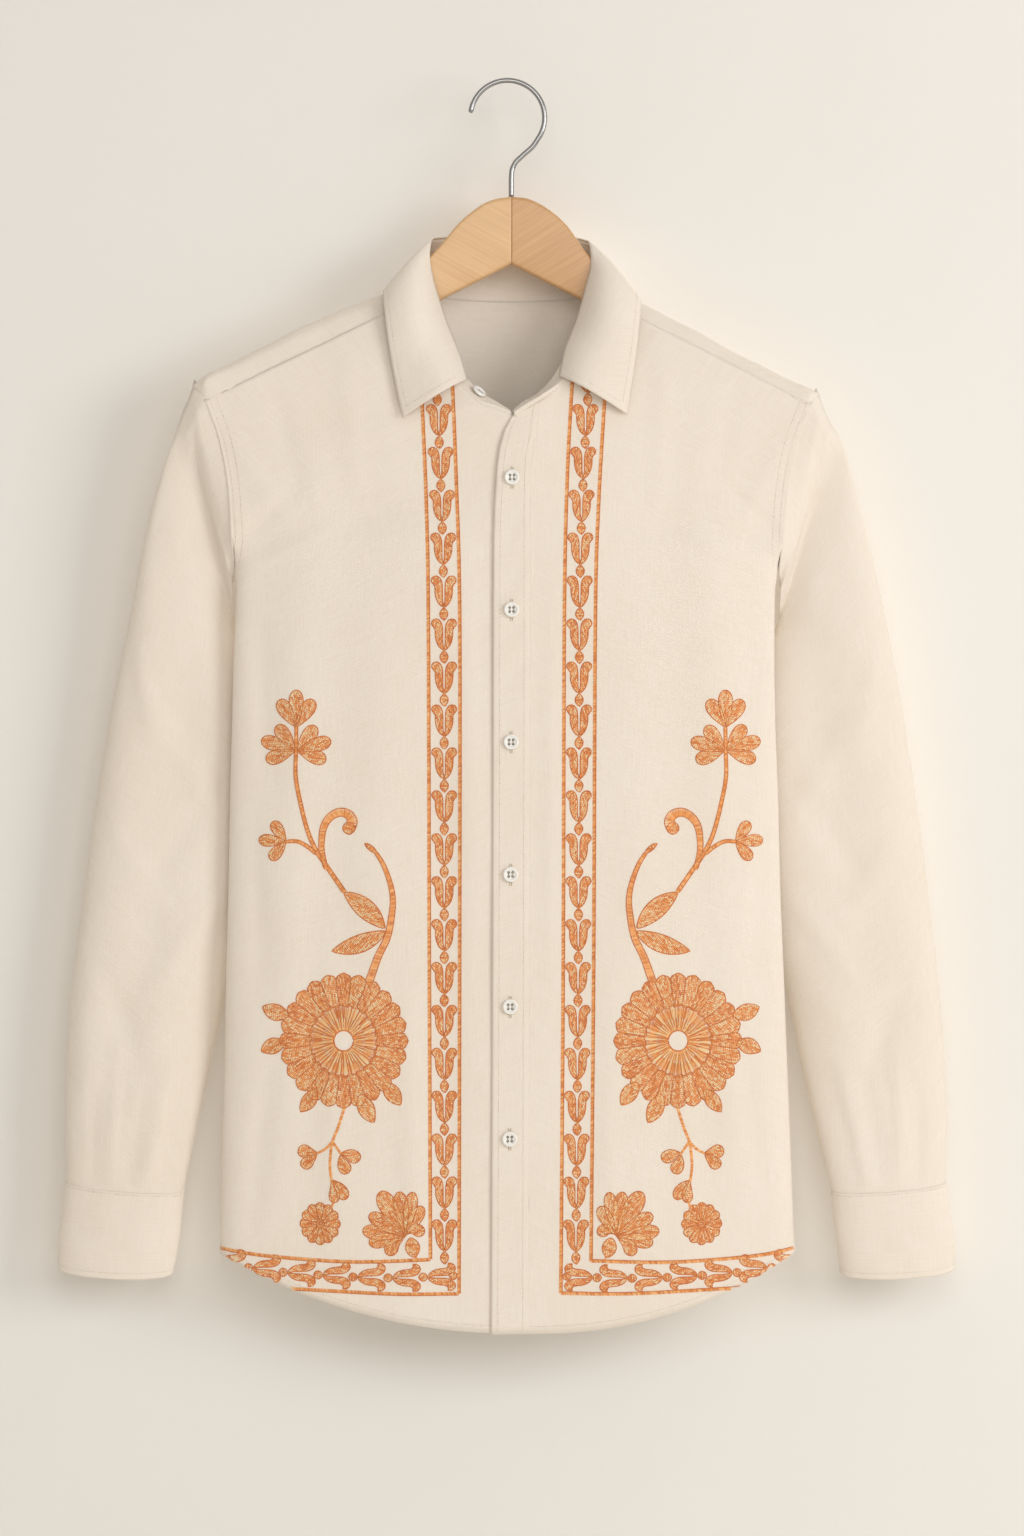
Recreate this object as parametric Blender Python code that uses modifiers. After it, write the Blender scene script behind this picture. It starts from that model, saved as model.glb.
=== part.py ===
"""A long-sleeved button shirt on a wooden hanger, as separate solids in metres, +Z up.

The origin is the seat of the hanger's hook, the inner top of its arc. X runs to the wearer's left, the
right of a front view, and Y runs from the front to the back. Sizes and tables are in millimetres.
"""
import math

import bmesh
import bpy
import numpy as np

MM = 0.001

# Driving sizes
CLOTH = 1.2
CUFF_CLOTH = 1.8
SEAM_GAP = 0.35
LAP_GAP = 0.4
NECK_DROP = 2.4
NECK_GAP = 0.8
SHOULDER_GAP = 0.9
BUTTON_DIAMETER = 11.5
BUTTON_THICKNESS = 2.6
COLLAR_BUTTON_LIFT = (0.0, -0.2, 0.3)
CUFF_BUTTON_LIFT = (0.0, 0.2, -12.0)
FIRST_BUTTON_X = 3.4
BUTTON_DRIFT = 0.35
FIRST_BUTTON_Z = -299.0
BUTTON_PITCH = 99.0
BUTTON_COUNT = 6
HEM_SIDE_EXPONENT = 2.2
HOOK_WIRE = 4.0
HOOK_RADIUS = 28.0
WOOD_SEAM_X = 2.75
WOOD_THICKNESS = 12.0
WOOD_TIP_FORWARD = 19.0
WOOD_REACH = 216.0

# Sides of the wearer, as signs of x
RIGHT = -1
LEFT = 1

# Cut count of each grid
FRONT_ROWS = 37
FRONT_COLUMNS = 9
BACK_ROWS = 20
BACK_COLUMNS = 19
YOKE_COLUMNS = 27
YOKE_ROWS = 12
SLEEVE_SIDES = 24
COLLAR_COLUMNS = 34

# Colours of the finished pieces
CREAM = (0.80, 0.72, 0.60)
WOOD_COLOUR = (0.70, 0.43, 0.20)
STEEL = (0.55, 0.55, 0.56)
SHELL_WHITE = (0.85, 0.83, 0.78)


def smooth(rows, count):
    """Smooth curve through the rows of a table, sampled at `count` even steps of row number. The slope
    at a row is the harmonic mean of the changes on its two sides, or none where they differ in sign,
    so the curve never swings past its rows."""
    rows = np.asarray(rows, dtype=float)
    change = np.diff(rows, axis=0)
    product = change[:-1] * change[1:]
    total = np.where(product > 0, change[:-1] + change[1:], 1.0)
    inner = np.where(product > 0, 2 * product / total, 0.0)
    slope = np.concatenate([change[:1], inner, change[-1:]])
    step = np.linspace(0, len(rows) - 1, count)
    index = np.minimum(step.astype(int), len(rows) - 2)
    t = (step - index).reshape((-1,) + (1,) * (rows.ndim - 1))
    return (rows[index] + slope[index] * t
            + (3 * change[index] - 2 * slope[index] - slope[index + 1]) * t ** 2
            + (slope[index] + slope[index + 1] - 2 * change[index]) * t ** 3)


def material(name, colour, roughness, metallic=0.0):
    """A Principled material with one colour."""
    made = bpy.data.materials.new(name)
    made.use_nodes = True
    shader = made.node_tree.nodes["Principled BSDF"]
    shader.inputs["Base Color"].default_value = (*colour, 1.0)
    shader.inputs["Roughness"].default_value = roughness
    shader.inputs["Metallic"].default_value = metallic
    return made


def add_object(name, mesh, finish):
    """Link a mesh to the shirt's collection with a material of its own."""
    colour, roughness, metallic = finish
    piece = bpy.data.objects.new(name, mesh)
    piece.data.materials.append(material(name, colour, roughness, metallic))
    shirt.objects.link(piece)
    return piece


def cloth(name, grid, closed=False, flip=False, wall=CLOTH):
    """A cloth wall whose outer face is the grid of points (rows, columns, xyz); `closed` joins the
    last column to the first, and `flip` turns the outer face round."""
    rows, columns, _ = grid.shape
    mesh = bpy.data.meshes.new(name)
    number = np.arange(rows * columns).reshape(rows, columns)
    if closed:
        number = np.concatenate([number, number[:, :1]], axis=1)
    quads = np.stack([number[:-1, :-1], number[:-1, 1:], number[1:, 1:], number[1:, :-1]], axis=-1)
    quads = quads.reshape(-1, 4)
    if flip:
        quads = quads[:, ::-1]
    mesh.from_pydata((grid.reshape(-1, 3) * MM).tolist(), [], quads.tolist())
    mesh.shade_smooth()
    piece = add_object(name, mesh, (CREAM, 0.85, 0.0))
    solidify = piece.modifiers.new("wall", "SOLIDIFY")
    solidify.thickness = wall * MM
    solidify.offset = -1.0
    return piece


# Neck seam and top edge of the collar stand, from the right front end round the back to the left front
# end. Where the stand leans back at the front, it shows narrow.
NECK = [
    # base_x, base_y, base_z, top_x, top_y, top_z
    (3.0, -34.0, -251.6, 2.6, -31.5, -248.8),
    (-9.0, -34.0, -246.4, -9.0, -25.5, -241.2),
    (-18.5, -34.0, -243.6, -19.5, -21.0, -234.8),
    (-32.0, -30.5, -232.5, -30.2, -18.5, -223.5),
    (-49.0, -27.5, -214.0, -36.2, -17.0, -210.0),
    (-66.0, -23.5, -192.0, -46.5, -14.5, -184.0),
    (-80.0, -17.5, -171.0, -56.0, -11.5, -153.0),
    (-84.5, -12.0, -158.0, -60.0, -9.5, -134.0),
    (-85.5, -4.0, -152.0, -60.5, -4.0, -124.5),
    (-83.0, 5.0, -151.0, -59.5, 4.0, -120.5),
    (-68.0, 19.0, -154.0, -53.0, 15.0, -118.5),
    (-38.0, 29.0, -159.0, -32.0, 25.0, -117.5),
    (2.0, 32.0, -160.5, 2.0, 28.0, -117.0),
    (42.0, 29.0, -159.5, 36.0, 25.0, -117.5),
    (72.0, 19.0, -156.0, 57.0, 15.0, -119.5),
    (87.0, 5.0, -153.0, 64.0, 4.0, -123.0),
    (89.5, -4.0, -154.0, 65.0, -4.0, -127.5),
    (88.5, -12.0, -160.0, 64.5, -9.5, -138.0),
    (84.0, -17.5, -172.5, 60.5, -11.5, -154.0),
    (71.0, -23.5, -192.0, 53.0, -14.5, -181.0),
    (55.0, -28.5, -214.0, 41.3, -17.5, -210.4),
    (38.5, -32.0, -229.6, 32.5, -20.0, -225.0),
    (25.5, -36.2, -238.6, 21.0, -24.5, -236.4),
    (14.0, -36.2, -245.4, 11.6, -29.0, -242.0),
    (4.8, -36.2, -251.4, 3.6, -33.5, -249.2),
]
# Rows of that table where each front ends, from the shoulder seam down, and where the yoke does
FRONT_NECK_ROWS = {RIGHT: (6, 5, 4, 3, 2, 1), LEFT: (18, 19, 20, 21)}
YOKE_NECK_ROWS = {RIGHT: (6, 7, 8, 9, 10, 11, 12), LEFT: (18, 17, 16, 15, 14, 13)}
STAND_FOOT = 1.4

# Armhole seams, from the shoulder tip to the underarm
ARMHOLE_FRONT = [
    # right_x, right_z, left_x, left_z, y
    (-235.0, -228.5, 232.8, -235.0, -20.0),
    (-224.6, -242.6, 225.4, -245.6, -28.5),
    (-220.6, -253.5, 220.6, -258.5, -28.5),
    (-216.7, -264.0, 216.0, -271.0, -28.2),
    (-212.8, -279.0, 212.4, -285.0, -27.8),
    (-209.8, -295.0, 209.6, -301.0, -27.2),
    (-207.8, -311.0, 207.6, -317.0, -26.6),
    (-206.7, -328.0, 206.6, -333.0, -25.6),
    (-205.9, -345.0, 205.4, -350.0, -23.5),
    (-204.4, -367.0, 202.9, -370.0, -14.0),
]
ARMHOLE_BACK = [
    # right_x, right_z, left_x, left_z, y
    (-235.0, -228.5, 232.8, -235.0, -20.0),
    (-227.0, -241.0, 226.0, -247.0, -11.0),
    (-217.0, -258.0, 217.0, -262.0, -4.0),
    (-209.0, -275.0, 209.0, -277.0, 0.0),
    (-205.0, -292.0, 205.0, -292.0, 1.5),
    (-203.0, -310.0, 203.0, -310.0, 0.5),
    (-202.3, -328.0, 202.3, -328.0, -1.5),
    (-202.8, -346.0, 202.0, -346.0, -5.0),
    (-204.4, -367.0, 202.9, -370.0, -14.0),
]
SHOULDER_SEAM_ROW = 1
BACK_SEAM_ROW = 4

# The body below the underarm, from there to the hem
BODY = [
    # centre_z, side_z, right_x, left_x, seam_y, edge_y, middle_y, centre_y, back_y
    (-338.0, -367.0, -204.4, 202.9, -14.0, -22.0, -32.5, -33.6, 29.0),
    (-378.0, -386.0, -203.6, 201.0, -14.0, -22.0, -32.5, -33.3, 30.0),
    (-425.0, -428.0, -205.6, 200.6, -14.0, -22.0, -32.0, -33.0, 31.0),
    (-480.0, -480.0, -207.0, 201.4, -13.0, -21.5, -31.5, -32.5, 31.0),
    (-540.0, -540.0, -208.6, 203.6, -12.0, -21.0, -31.0, -32.0, 31.0),
    (-605.0, -605.0, -209.8, 205.2, -11.0, -20.5, -30.5, -31.5, 30.0),
    (-670.0, -670.0, -211.6, 207.8, -10.0, -20.0, -30.0, -31.0, 29.0),
    (-735.0, -732.0, -212.6, 210.2, -9.0, -19.5, -29.5, -30.5, 28.0),
    (-797.0, -786.0, -214.2, 212.4, -8.0, -19.0, -29.0, -30.0, 27.0),
    (-862.0, -838.0, -215.6, 214.4, -7.0, -18.5, -28.5, -29.5, 26.0),
    (-940.0, -881.0, -216.4, 216.0, -7.0, -18.0, -28.0, -29.0, 25.0),
]
SIDE_ROUND = 22.0
BACK_ROUND = 10.0
BODY_WIDTH = 415.0
SEAM_LIP = 1.2
UNDERLAP_X = 13.5
UNDERLAP_TOP = [(UNDERLAP_X, -33.9, -262.0), (UNDERLAP_X, -33.8, -300.0)]
PLACKET_TOP_Z = (-262.0, -285.0, -310.0)
CHEST_BOW = 3.5
HEM_CURVE_TOP = -600.0
BACK_HEM_RISE = 10.0
BACK_DROP_TOP = -700.0
BACK_SEAM_Y = 28.4
BACK_EDGE_DEPTH = 7.0
BACK_FLAT = 12.0
BACK_RISE_WIDTH = 95.0
# Cuts close to the side seam, where the cloth turns, in distances from the seam
FRONT_SIDE_CUTS = (1.5, 6.0)
BACK_SIDE_CUTS = (1.5, 5.0)
BACK_FOLDS = [
    # fold_x, half_width, depth
    (60.0, 16.0, 3.0),
    (-55.0, 16.0, 3.0),
]

# Edges of the placket, from the collar stand to the hem
PLACKET = [
    # left_edge_z, left_edge_x, right_edge_z, right_edge_x
    (-253.4, 3.6, -241.0, 24.6),
    (-263.6, -2.4, -258.0, 23.2),
    (-276.0, -6.0, -272.0, 20.3),
    (-290.0, -7.9, -287.0, 18.5),
    (-312.0, -9.4, -312.0, 17.7),
    (-340.0, -10.6, -340.0, 17.6),
    (-405.0, -10.9, -405.0, 17.6),
    (-470.0, -11.0, -470.0, 17.5),
    (-560.0, -11.2, -560.0, 17.3),
    (-650.0, -11.4, -650.0, 17.1),
    (-740.0, -11.7, -740.0, 16.9),
    (-830.0, -12.1, -830.0, 16.7),
    (-941.4, -12.5, -941.0, 16.6),
]

# Largest folds of the fronts: soft ridges of raised cloth from one end point to the other
BODY_FOLDS = [
    # start_x, start_z, end_x, end_z, half_width, rise
    (-150.0, -250.0, -172.0, -860.0, 20.0, 2.6),
    (-98.0, -330.0, -104.0, -900.0, 22.0, 1.8),
    (-190.0, -330.0, -186.0, -700.0, 12.0, -2.0),
    (146.0, -262.0, 176.0, -860.0, 21.0, 2.6),
    (92.0, -340.0, 98.0, -900.0, 22.0, 1.6),
    (188.0, -340.0, 190.0, -720.0, 12.0, -1.8),
    (-46.0, -420.0, -44.0, -930.0, 16.0, -1.5),
    (50.0, -420.0, 46.0, -930.0, 16.0, -1.3),
]


def fold_rise(x, z, folds):
    """Height of the folds at x, z: each is a Gaussian ridge across its line, fading out at both ends."""
    rise = np.zeros_like(x)
    for start_x, start_z, end_x, end_z, half_width, height in folds:
        run = np.array([end_x - start_x, end_z - start_z])
        length = np.hypot(*run)
        along = ((x - start_x) * run[0] + (z - start_z) * run[1]) / length ** 2
        across = ((x - start_x) * run[1] - (z - start_z) * run[0]) / length
        fade = np.sin(np.pi * np.clip(along, 0, 1)) ** 0.6
        rise += height * fade * np.exp(-(across / half_width) ** 2)
    return rise


def armhole(table, side):
    """The x, y, z points of an armhole seam on one side."""
    rows = np.array(table)
    pair = rows[:, 0:2] if side == RIGHT else rows[:, 2:4]
    return np.stack([pair[:, 0], rows[:, 4], pair[:, 1]], axis=-1)


def hem_share(side_z):
    """How far a section at this side height follows the hem's curve, from 0 to 1."""
    return np.clip((HEM_CURVE_TOP - side_z) / (HEM_CURVE_TOP - BODY[-1][1]), 0.0, 1.0)


def front_sections(side):
    """Sections of one front, from the shoulder seam to the hem. A section is the inner point, the
    outer point, y just inside the outer edge, y in the middle, and the curve exponent of its line."""
    neck = np.array(NECK)
    seam = armhole(ARMHOLE_FRONT, side)[SHOULDER_SEAM_ROW:]
    placket_edge = smooth(PLACKET, 60)
    inner = list(neck[list(FRONT_NECK_ROWS[side]), 0:3])
    if side == RIGHT:
        inner += [np.array(point) for point in UNDERLAP_TOP]
    else:
        for z in (PLACKET[0][2], *PLACKET_TOP_Z):
            x = np.interp(-z, -placket_edge[:, 2], placket_edge[:, 3]) + SEAM_GAP
            inner.append(np.array([x, lap_y(z), z + NECK_DROP]))
    sections = []
    for row, point in enumerate(inner):
        outer = seam[row]
        middle_y = 0.45 * (point[1] + outer[1]) - CHEST_BOW
        sections.append([*(point - (0, 0, NECK_DROP)), *outer, outer[1], middle_y, 1.0])
    for centre_z, side_z, right_x, left_x, seam_y, edge_y, middle_y, centre_y, _ in BODY:
        exponent = 1.0 + (HEM_SIDE_EXPONENT - 1.0) * hem_share(side_z)
        if side == RIGHT:
            inner_x, outer_x, inner_y = UNDERLAP_X, right_x, centre_y
        else:
            inner_x = np.interp(-centre_z, -placket_edge[:, 2], placket_edge[:, 3]) + SEAM_GAP
            outer_x, inner_y = left_x, lap_y(centre_z)
        sections.append([inner_x, inner_y, centre_z, outer_x, seam_y - 0.5 * SEAM_GAP, side_z,
                         edge_y, middle_y, exponent])
    return np.array(sections)


def front_grid(side, rows, columns):
    """Outer face of a front: each section runs from its inner to its outer point as a shallow bow in
    y, and turns back over SIDE_ROUND to the side seam in a quarter ellipse."""
    section = smooth(front_sections(side), rows)[:, None, :]
    inner, outer = section[..., 0:3], section[..., 3:6]
    edge_y, middle_y, exponent = section[..., 6], section[..., 7], section[..., 8]
    width = np.abs(outer[..., 0] - inner[..., 0])
    depth = outer[..., 1] - edge_y
    lip = np.minimum(SEAM_LIP, 0.5 * depth)
    near_side = np.array([*FRONT_SIDE_CUTS, SIDE_ROUND])
    share = np.linspace(0.0, 1.0, columns - len(near_side) - 1)[None, :-1]
    inner_part = share * (width - SIDE_ROUND) / width
    outer_part = 1.0 - near_side[None, ::-1] / width
    last = 1.0 - (SEAM_LIP - lip) / width
    w = np.concatenate([inner_part, outer_part, last, np.ones_like(width)], axis=1)
    x = inner[..., 0] + (outer[..., 0] - inner[..., 0]) * w
    z = inner[..., 2] + (outer[..., 2] - inner[..., 2]) * w ** exponent
    bow = middle_y - 0.5 * (inner[..., 1] + edge_y)
    y = inner[..., 1] * (1 - w) + edge_y * w + bow * 4 * w * (1 - w)
    turn = np.clip(1 - (1 - w) * width / SIDE_ROUND, 0, 1)
    y = y + (depth - lip) * (1 - np.sqrt(1 - turn ** 2))
    y[:, -1:] += lip
    y = y - fold_rise(x, z, BODY_FOLDS) * (1 - turn) * np.clip(w * 8 - 1, 0, 1)
    return np.stack([x, y, z], axis=-1)


def lap_y(z):
    """Outer face of the placket at height z: one cloth wall clear of the foremost point of the right
    front that lies under it."""
    under = front_grid(RIGHT, 90, 40)[:, :8]
    foremost = under[..., 1].min(axis=1)
    level = under[..., 2].mean(axis=1)
    return np.interp(-z, -level, foremost) - CLOTH - LAP_GAP


def placket_grid(columns):
    """Outer face of the button band: its right edge follows the left front's inner edge row by row, and
    its other edge comes from the table."""
    edge = front_grid(LEFT, FRONT_ROWS, FRONT_COLUMNS)[:, 0]
    edge = edge[edge[:, 2] < PLACKET[0][2] + 0.1]
    table = np.array(PLACKET)
    far_z = np.interp(-edge[:, 2], -table[:, 2], table[:, 0])
    far_x = np.interp(-edge[:, 2], -table[:, 2], table[:, 1])
    far_edge = np.stack([far_x, np.minimum(edge[:, 1], lap_y(far_z)), far_z], axis=-1)
    near_edge = edge - (SEAM_GAP, 0.0, 0.0)
    across = np.linspace(0, 1, columns)[None, :, None]
    return far_edge[:, None] * (1 - across) + near_edge[:, None] * across


def back_sections():
    """Sections of the back, from the yoke seam to the hem: right point, left point, y in the middle,
    y just inside the edges, drop of the line's middle, and its curve exponent."""
    right, left = armhole(ARMHOLE_BACK, RIGHT), armhole(ARMHOLE_BACK, LEFT)
    sections = []
    for row in range(BACK_SEAM_ROW, len(right) - 1):
        edge_y = right[row, 1]
        sections.append([*right[row], *left[row], BACK_SEAM_Y, edge_y, 0.0, 2.0])
    for centre_z, side_z, right_x, left_x, seam_y, edge_y, middle_y, centre_y, back_y in BODY:
        share = hem_share(side_z)
        drop = max(side_z - centre_z - BACK_HEM_RISE * share, 0.0) if side_z < BACK_DROP_TOP else 0.0
        back_seam_y = seam_y + 0.5 * SEAM_GAP
        sections.append([right_x, back_seam_y, side_z, left_x, back_seam_y, side_z, back_y,
                         seam_y + BACK_EDGE_DEPTH, drop, 1.0 + (HEM_SIDE_EXPONENT - 1.0) * share])
    return np.array(sections)


def back_grid(rows, columns):
    """Outer face of the back: each section leaves the side seam in a quarter ellipse, stays flat where
    the sleeve hangs behind it, and rises over the middle as a soft step."""
    section = smooth(back_sections(), rows)[:, None, :]
    right, left = section[..., 0:3], section[..., 3:6]
    middle_y, edge_y, drop, exponent = (section[..., k] for k in range(6, 10))
    width = left[..., 0] - right[..., 0]
    depth = edge_y - right[..., 1]
    lip = np.minimum(SEAM_LIP, 0.5 * depth)
    near_side = np.array([*BACK_SIDE_CUTS, BACK_FLAT])
    inside = np.linspace(SIDE_ROUND, 0.5 * BODY_WIDTH, (columns - 1) // 2 - len(near_side) - 1)
    inset = np.concatenate([near_side, inside])[None, :] * width / BODY_WIDTH
    inset = np.concatenate([np.zeros_like(width), SEAM_LIP - lip, inset], axis=1)
    inset = np.concatenate([inset, (width - inset)[:, -2::-1]], axis=1)
    w = inset / width
    from_side = np.minimum(inset, width - inset)
    x = right[..., 0] + width * w
    z = right[..., 2] * (1 - w) + left[..., 2] * w - drop * (1 - np.abs(2 * w - 1) ** exponent)
    rise = np.clip((from_side - BACK_FLAT) / BACK_RISE_WIDTH, 0, 1)
    rise = rise * rise * (3 - 2 * rise)
    turn = np.clip(1 - from_side / BACK_ROUND, 0, 1)
    y = edge_y + (middle_y - edge_y) * rise - (depth - lip) * (1 - np.sqrt(1 - turn ** 2))
    y[:, [0, -1]] -= lip
    for fold_x, half_width, depth in BACK_FOLDS:
        y = y + depth * np.exp(-((x - fold_x) / half_width) ** 2) * np.clip((-z - 320.0) / 200.0, 0, 1)
    return np.stack([x, y, z], axis=-1)


# The top of each shoulder from tip to neck, with where its column meets the front and back seams
RIGHT_RIDGE = [
    # x, y, z, front_x, back_x
    (-235.0, -20.0, -228.5, -224.6, -205.0),
    (-226.9, -19.0, -221.6, -217.0, -198.0),
    (-207.4, -16.5, -212.3, -201.0, -184.0),
    (-180.4, -13.0, -197.8, -178.0, -163.0),
    (-139.9, -8.5, -178.2, -139.0, -130.0),
    (-113.6, -6.0, -167.2, -112.0, -108.0),
    (-97.0, -4.6, -160.8, -92.0, -92.0),
]
LEFT_RIDGE = [
    # x, y, z, front_x, back_x
    (232.8, -20.0, -235.0, 225.4, 205.0),
    (226.1, -19.0, -231.0, 217.0, 198.0),
    (205.0, -16.3, -221.6, 201.0, 184.0),
    (178.0, -13.0, -207.4, 178.0, 163.0),
    (139.9, -8.5, -186.8, 139.0, 130.0),
    (117.0, -6.2, -174.6, 113.0, 108.0),
    (101.0, -4.9, -166.2, 96.0, 92.0),
]
SHOULDER_FALL = (7.8, 5.5)
# Where the yoke's columns run from the neck seam beside the shoulder, as steps from the seam
NECK_FAN = [
    # front_fall_x, _y, _z, top_x, _y, _z, back_fall_x, _y, _z, middle_x, _y, _z
    (8.0, 6.0, 10.5, 10.5, 13.5, 14.0, 11.0, 22.0, 11.0, 6.0, 39.5, -44.0),
    (3.5, 6.0, 2.8, 4.3, 13.0, 3.4, 3.5, 20.0, -2.0, -2.5, 35.0, -57.0),
    (1.3, 5.0, -0.8, 0.8, 10.0, -3.0, -1.5, 16.0, -12.0, -9.5, 28.5, -63.0),
    (0.0, 4.0, -2.5, -2.0, 8.5, -8.5, -6.0, 13.0, -21.0, -16.0, 21.0, -69.0),
]


def yoke_columns(side):
    """Six control points of each column of the yoke, from a shoulder tip to the neck: front seam or
    neck seam, front fall, ridge, back fall, middle of the back, back seam."""
    front_top = front_sections(side)[0]
    seam_start, seam_end = front_top[3:6], front_top[0:3]
    back_top = back_grid(BACK_ROWS, BACK_COLUMNS)[0]
    front_hole, back_hole = armhole(ARMHOLE_FRONT, side), armhole(ARMHOLE_BACK, side)
    forward, down = SHOULDER_FALL
    columns = []
    for x, y, z, front_x, back_x in RIGHT_RIDGE if side == RIGHT else LEFT_RIDGE:
        share = (seam_start[0] - front_x) / (seam_start[0] - seam_end[0])
        front = seam_start + (seam_end - seam_start) * share + (0, 0, SHOULDER_GAP)
        end = yoke_back_point(back_top, back_x)
        behind = np.array((x, y + forward, z - down))
        column = [front, np.array((x, y - forward, z - down)), np.array((x, y, z)), behind,
                  0.5 * (behind + end) + (0.0, 4.0, 0.0), end]
        if not columns:
            column[1] = 0.5 * (front_hole[0] + front_hole[1]) + (0.0, -1.0, 0.8)
            column[3:5] = back_hole[1], 0.5 * (back_hole[2] + back_hole[3]) - (side * 1.0, 0.0, 0.0)
        columns.append(column)
    for row, back_x in zip(YOKE_NECK_ROWS[side], side * np.linspace(80.0, 0.0, 7)):
        start = np.array(NECK[row][0:3]) + (side * 0.8, 0.0, -NECK_GAP)
        end = yoke_back_point(back_top, back_x)
        if len(columns) < len(RIGHT_RIDGE) + len(NECK_FAN):
            fan = np.array(NECK_FAN[len(columns) - len(RIGHT_RIDGE)]).reshape(4, 3) * (side, 1, 1)
            columns.append([start, *(start + fan), end])
        else:
            columns.append([start + (end - start) * share + (0.0, 8.0 * share * (1 - share), 0.0)
                            for share in (0.0, 0.07, 0.18, 0.36, 0.66, 1.0)])
    return columns


def yoke_back_point(back_top, x):
    """Point of the yoke's back seam at x, just above the back's first row."""
    y = np.interp(x, back_top[:, 0], back_top[:, 1])
    z = np.interp(x, back_top[:, 0], back_top[:, 2])
    return np.array([x, y, z + SEAM_GAP])


def yoke_grid(columns):
    """Outer face of the yoke: a curve through each column's six points, smoothed along the yoke."""
    control = yoke_columns(RIGHT) + yoke_columns(LEFT)[::-1]
    across = smooth(np.array(control), columns)
    return np.stack([smooth(column, YOKE_ROWS) for column in across])


# Rings of both sleeves below the armhole; the inner side hangs behind the body's side edge
SLEEVE = [
    # outer_z, right_outer_x, left_outer_x, inner_z, right_inner_x, left_inner_x,
    # outer_y, inner_y, half_front, half_back
    (-270.0, -250.9, 250.6, -404.7, -206.0, 204.6, -16.0, 7.7, 6.3, 12.0),
    (-317.0, -266.6, 264.6, -416.7, -201.0, 199.0, -10.0, 14.0, 12.0, 18.0),
    (-357.5, -276.0, 275.0, -430.0, -192.0, 190.0, -5.0, 18.0, 15.0, 18.0),
    (-399.5, -283.9, 284.5, -455.0, -183.0, 181.0, 0.0, 20.0, 18.0, 18.0),
    (-442.0, -293.3, 293.5, -485.0, -176.0, 174.0, 4.0, 21.0, 19.0, 19.0),
    (-490.0, -302.2, 301.5, -518.0, -174.0, 172.0, 7.0, 21.0, 20.0, 20.0),
    (-551.6, -312.4, 311.0, -565.0, -180.0, 178.0, 9.0, 20.0, 21.0, 21.0),
    (-615.0, -321.0, 319.0, -622.0, -192.0, 191.0, 10.0, 18.0, 21.0, 21.0),
    (-690.0, -330.4, 327.5, -684.0, -211.9, 211.0, 10.0, 16.0, 21.0, 21.0),
    (-732.0, -333.0, 330.6, -738.0, -224.1, 222.0, 9.0, 13.0, 20.0, 20.0),
    (-779.6, -333.9, 332.2, -791.0, -235.5, 233.8, 8.0, 10.0, 18.5, 18.5),
    (-827.0, -333.6, 330.6, -834.0, -244.4, 244.4, 7.0, 8.0, 16.0, 16.0),
]
# The sleeve's second and third rings: how far they lie from the armhole seam at its top and at the
# underarm, how far out in front and behind, and how far they fall back there
SLEEVE_HEAD = [
    # top_x, top_y, top_z, underarm_x, underarm_y, underarm_z, front_out, back_out, front_depth, back_depth
    (2.5, 0.0, -8.0, 0.7, 6.2, -8.3, 9.5, 7.6, 0.0, 0.0),
    (8.0, 1.0, -21.0, 1.3, 6.3, -12.4, 12.8, 11.5, 7.3, 6.0),
]
RING_BOW = 4.0
FOLD_COUNT = 5
FOLD_DEPTH = 1.6


def ring(side, row, sides, bow=0.0):
    """One ring round an arm: from the outer point over the front to the inner point and back behind,
    with the depth as a blunt sine."""
    outer_z, right_outer, left_outer, inner_z, right_inner, left_inner = row[0:6]
    outer_y, inner_y, half_front, half_back = row[6:10]
    outer_x = right_outer if side == RIGHT else left_outer
    inner_x = right_inner if side == RIGHT else left_inner
    angle = np.arange(sides) * 2 * np.pi / sides
    share = 0.5 * (1 - np.cos(angle))
    depth = np.abs(np.sin(angle)) ** 0.8
    half = np.where(np.sin(angle) >= 0, -half_front, half_back)
    x = outer_x + (inner_x - outer_x) * share
    y = outer_y + (inner_y - outer_y) * share + half * depth
    z = outer_z + (inner_z - outer_z) * share - bow * depth * (np.sin(angle) >= 0)
    return np.stack([x, y, z], axis=-1)


def armhole_ring(side, sides):
    """The armhole seam as a ring, moved out of the body by the seam's gap."""
    half = sides // 2
    front = smooth(armhole(ARMHOLE_FRONT, side), half + 1)
    back = smooth(armhole(ARMHOLE_BACK, side), half + 1)
    seam = np.concatenate([front, back[-2:0:-1]])
    return seam + np.array((side * 0.9, 0.0, 0.0))


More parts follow.
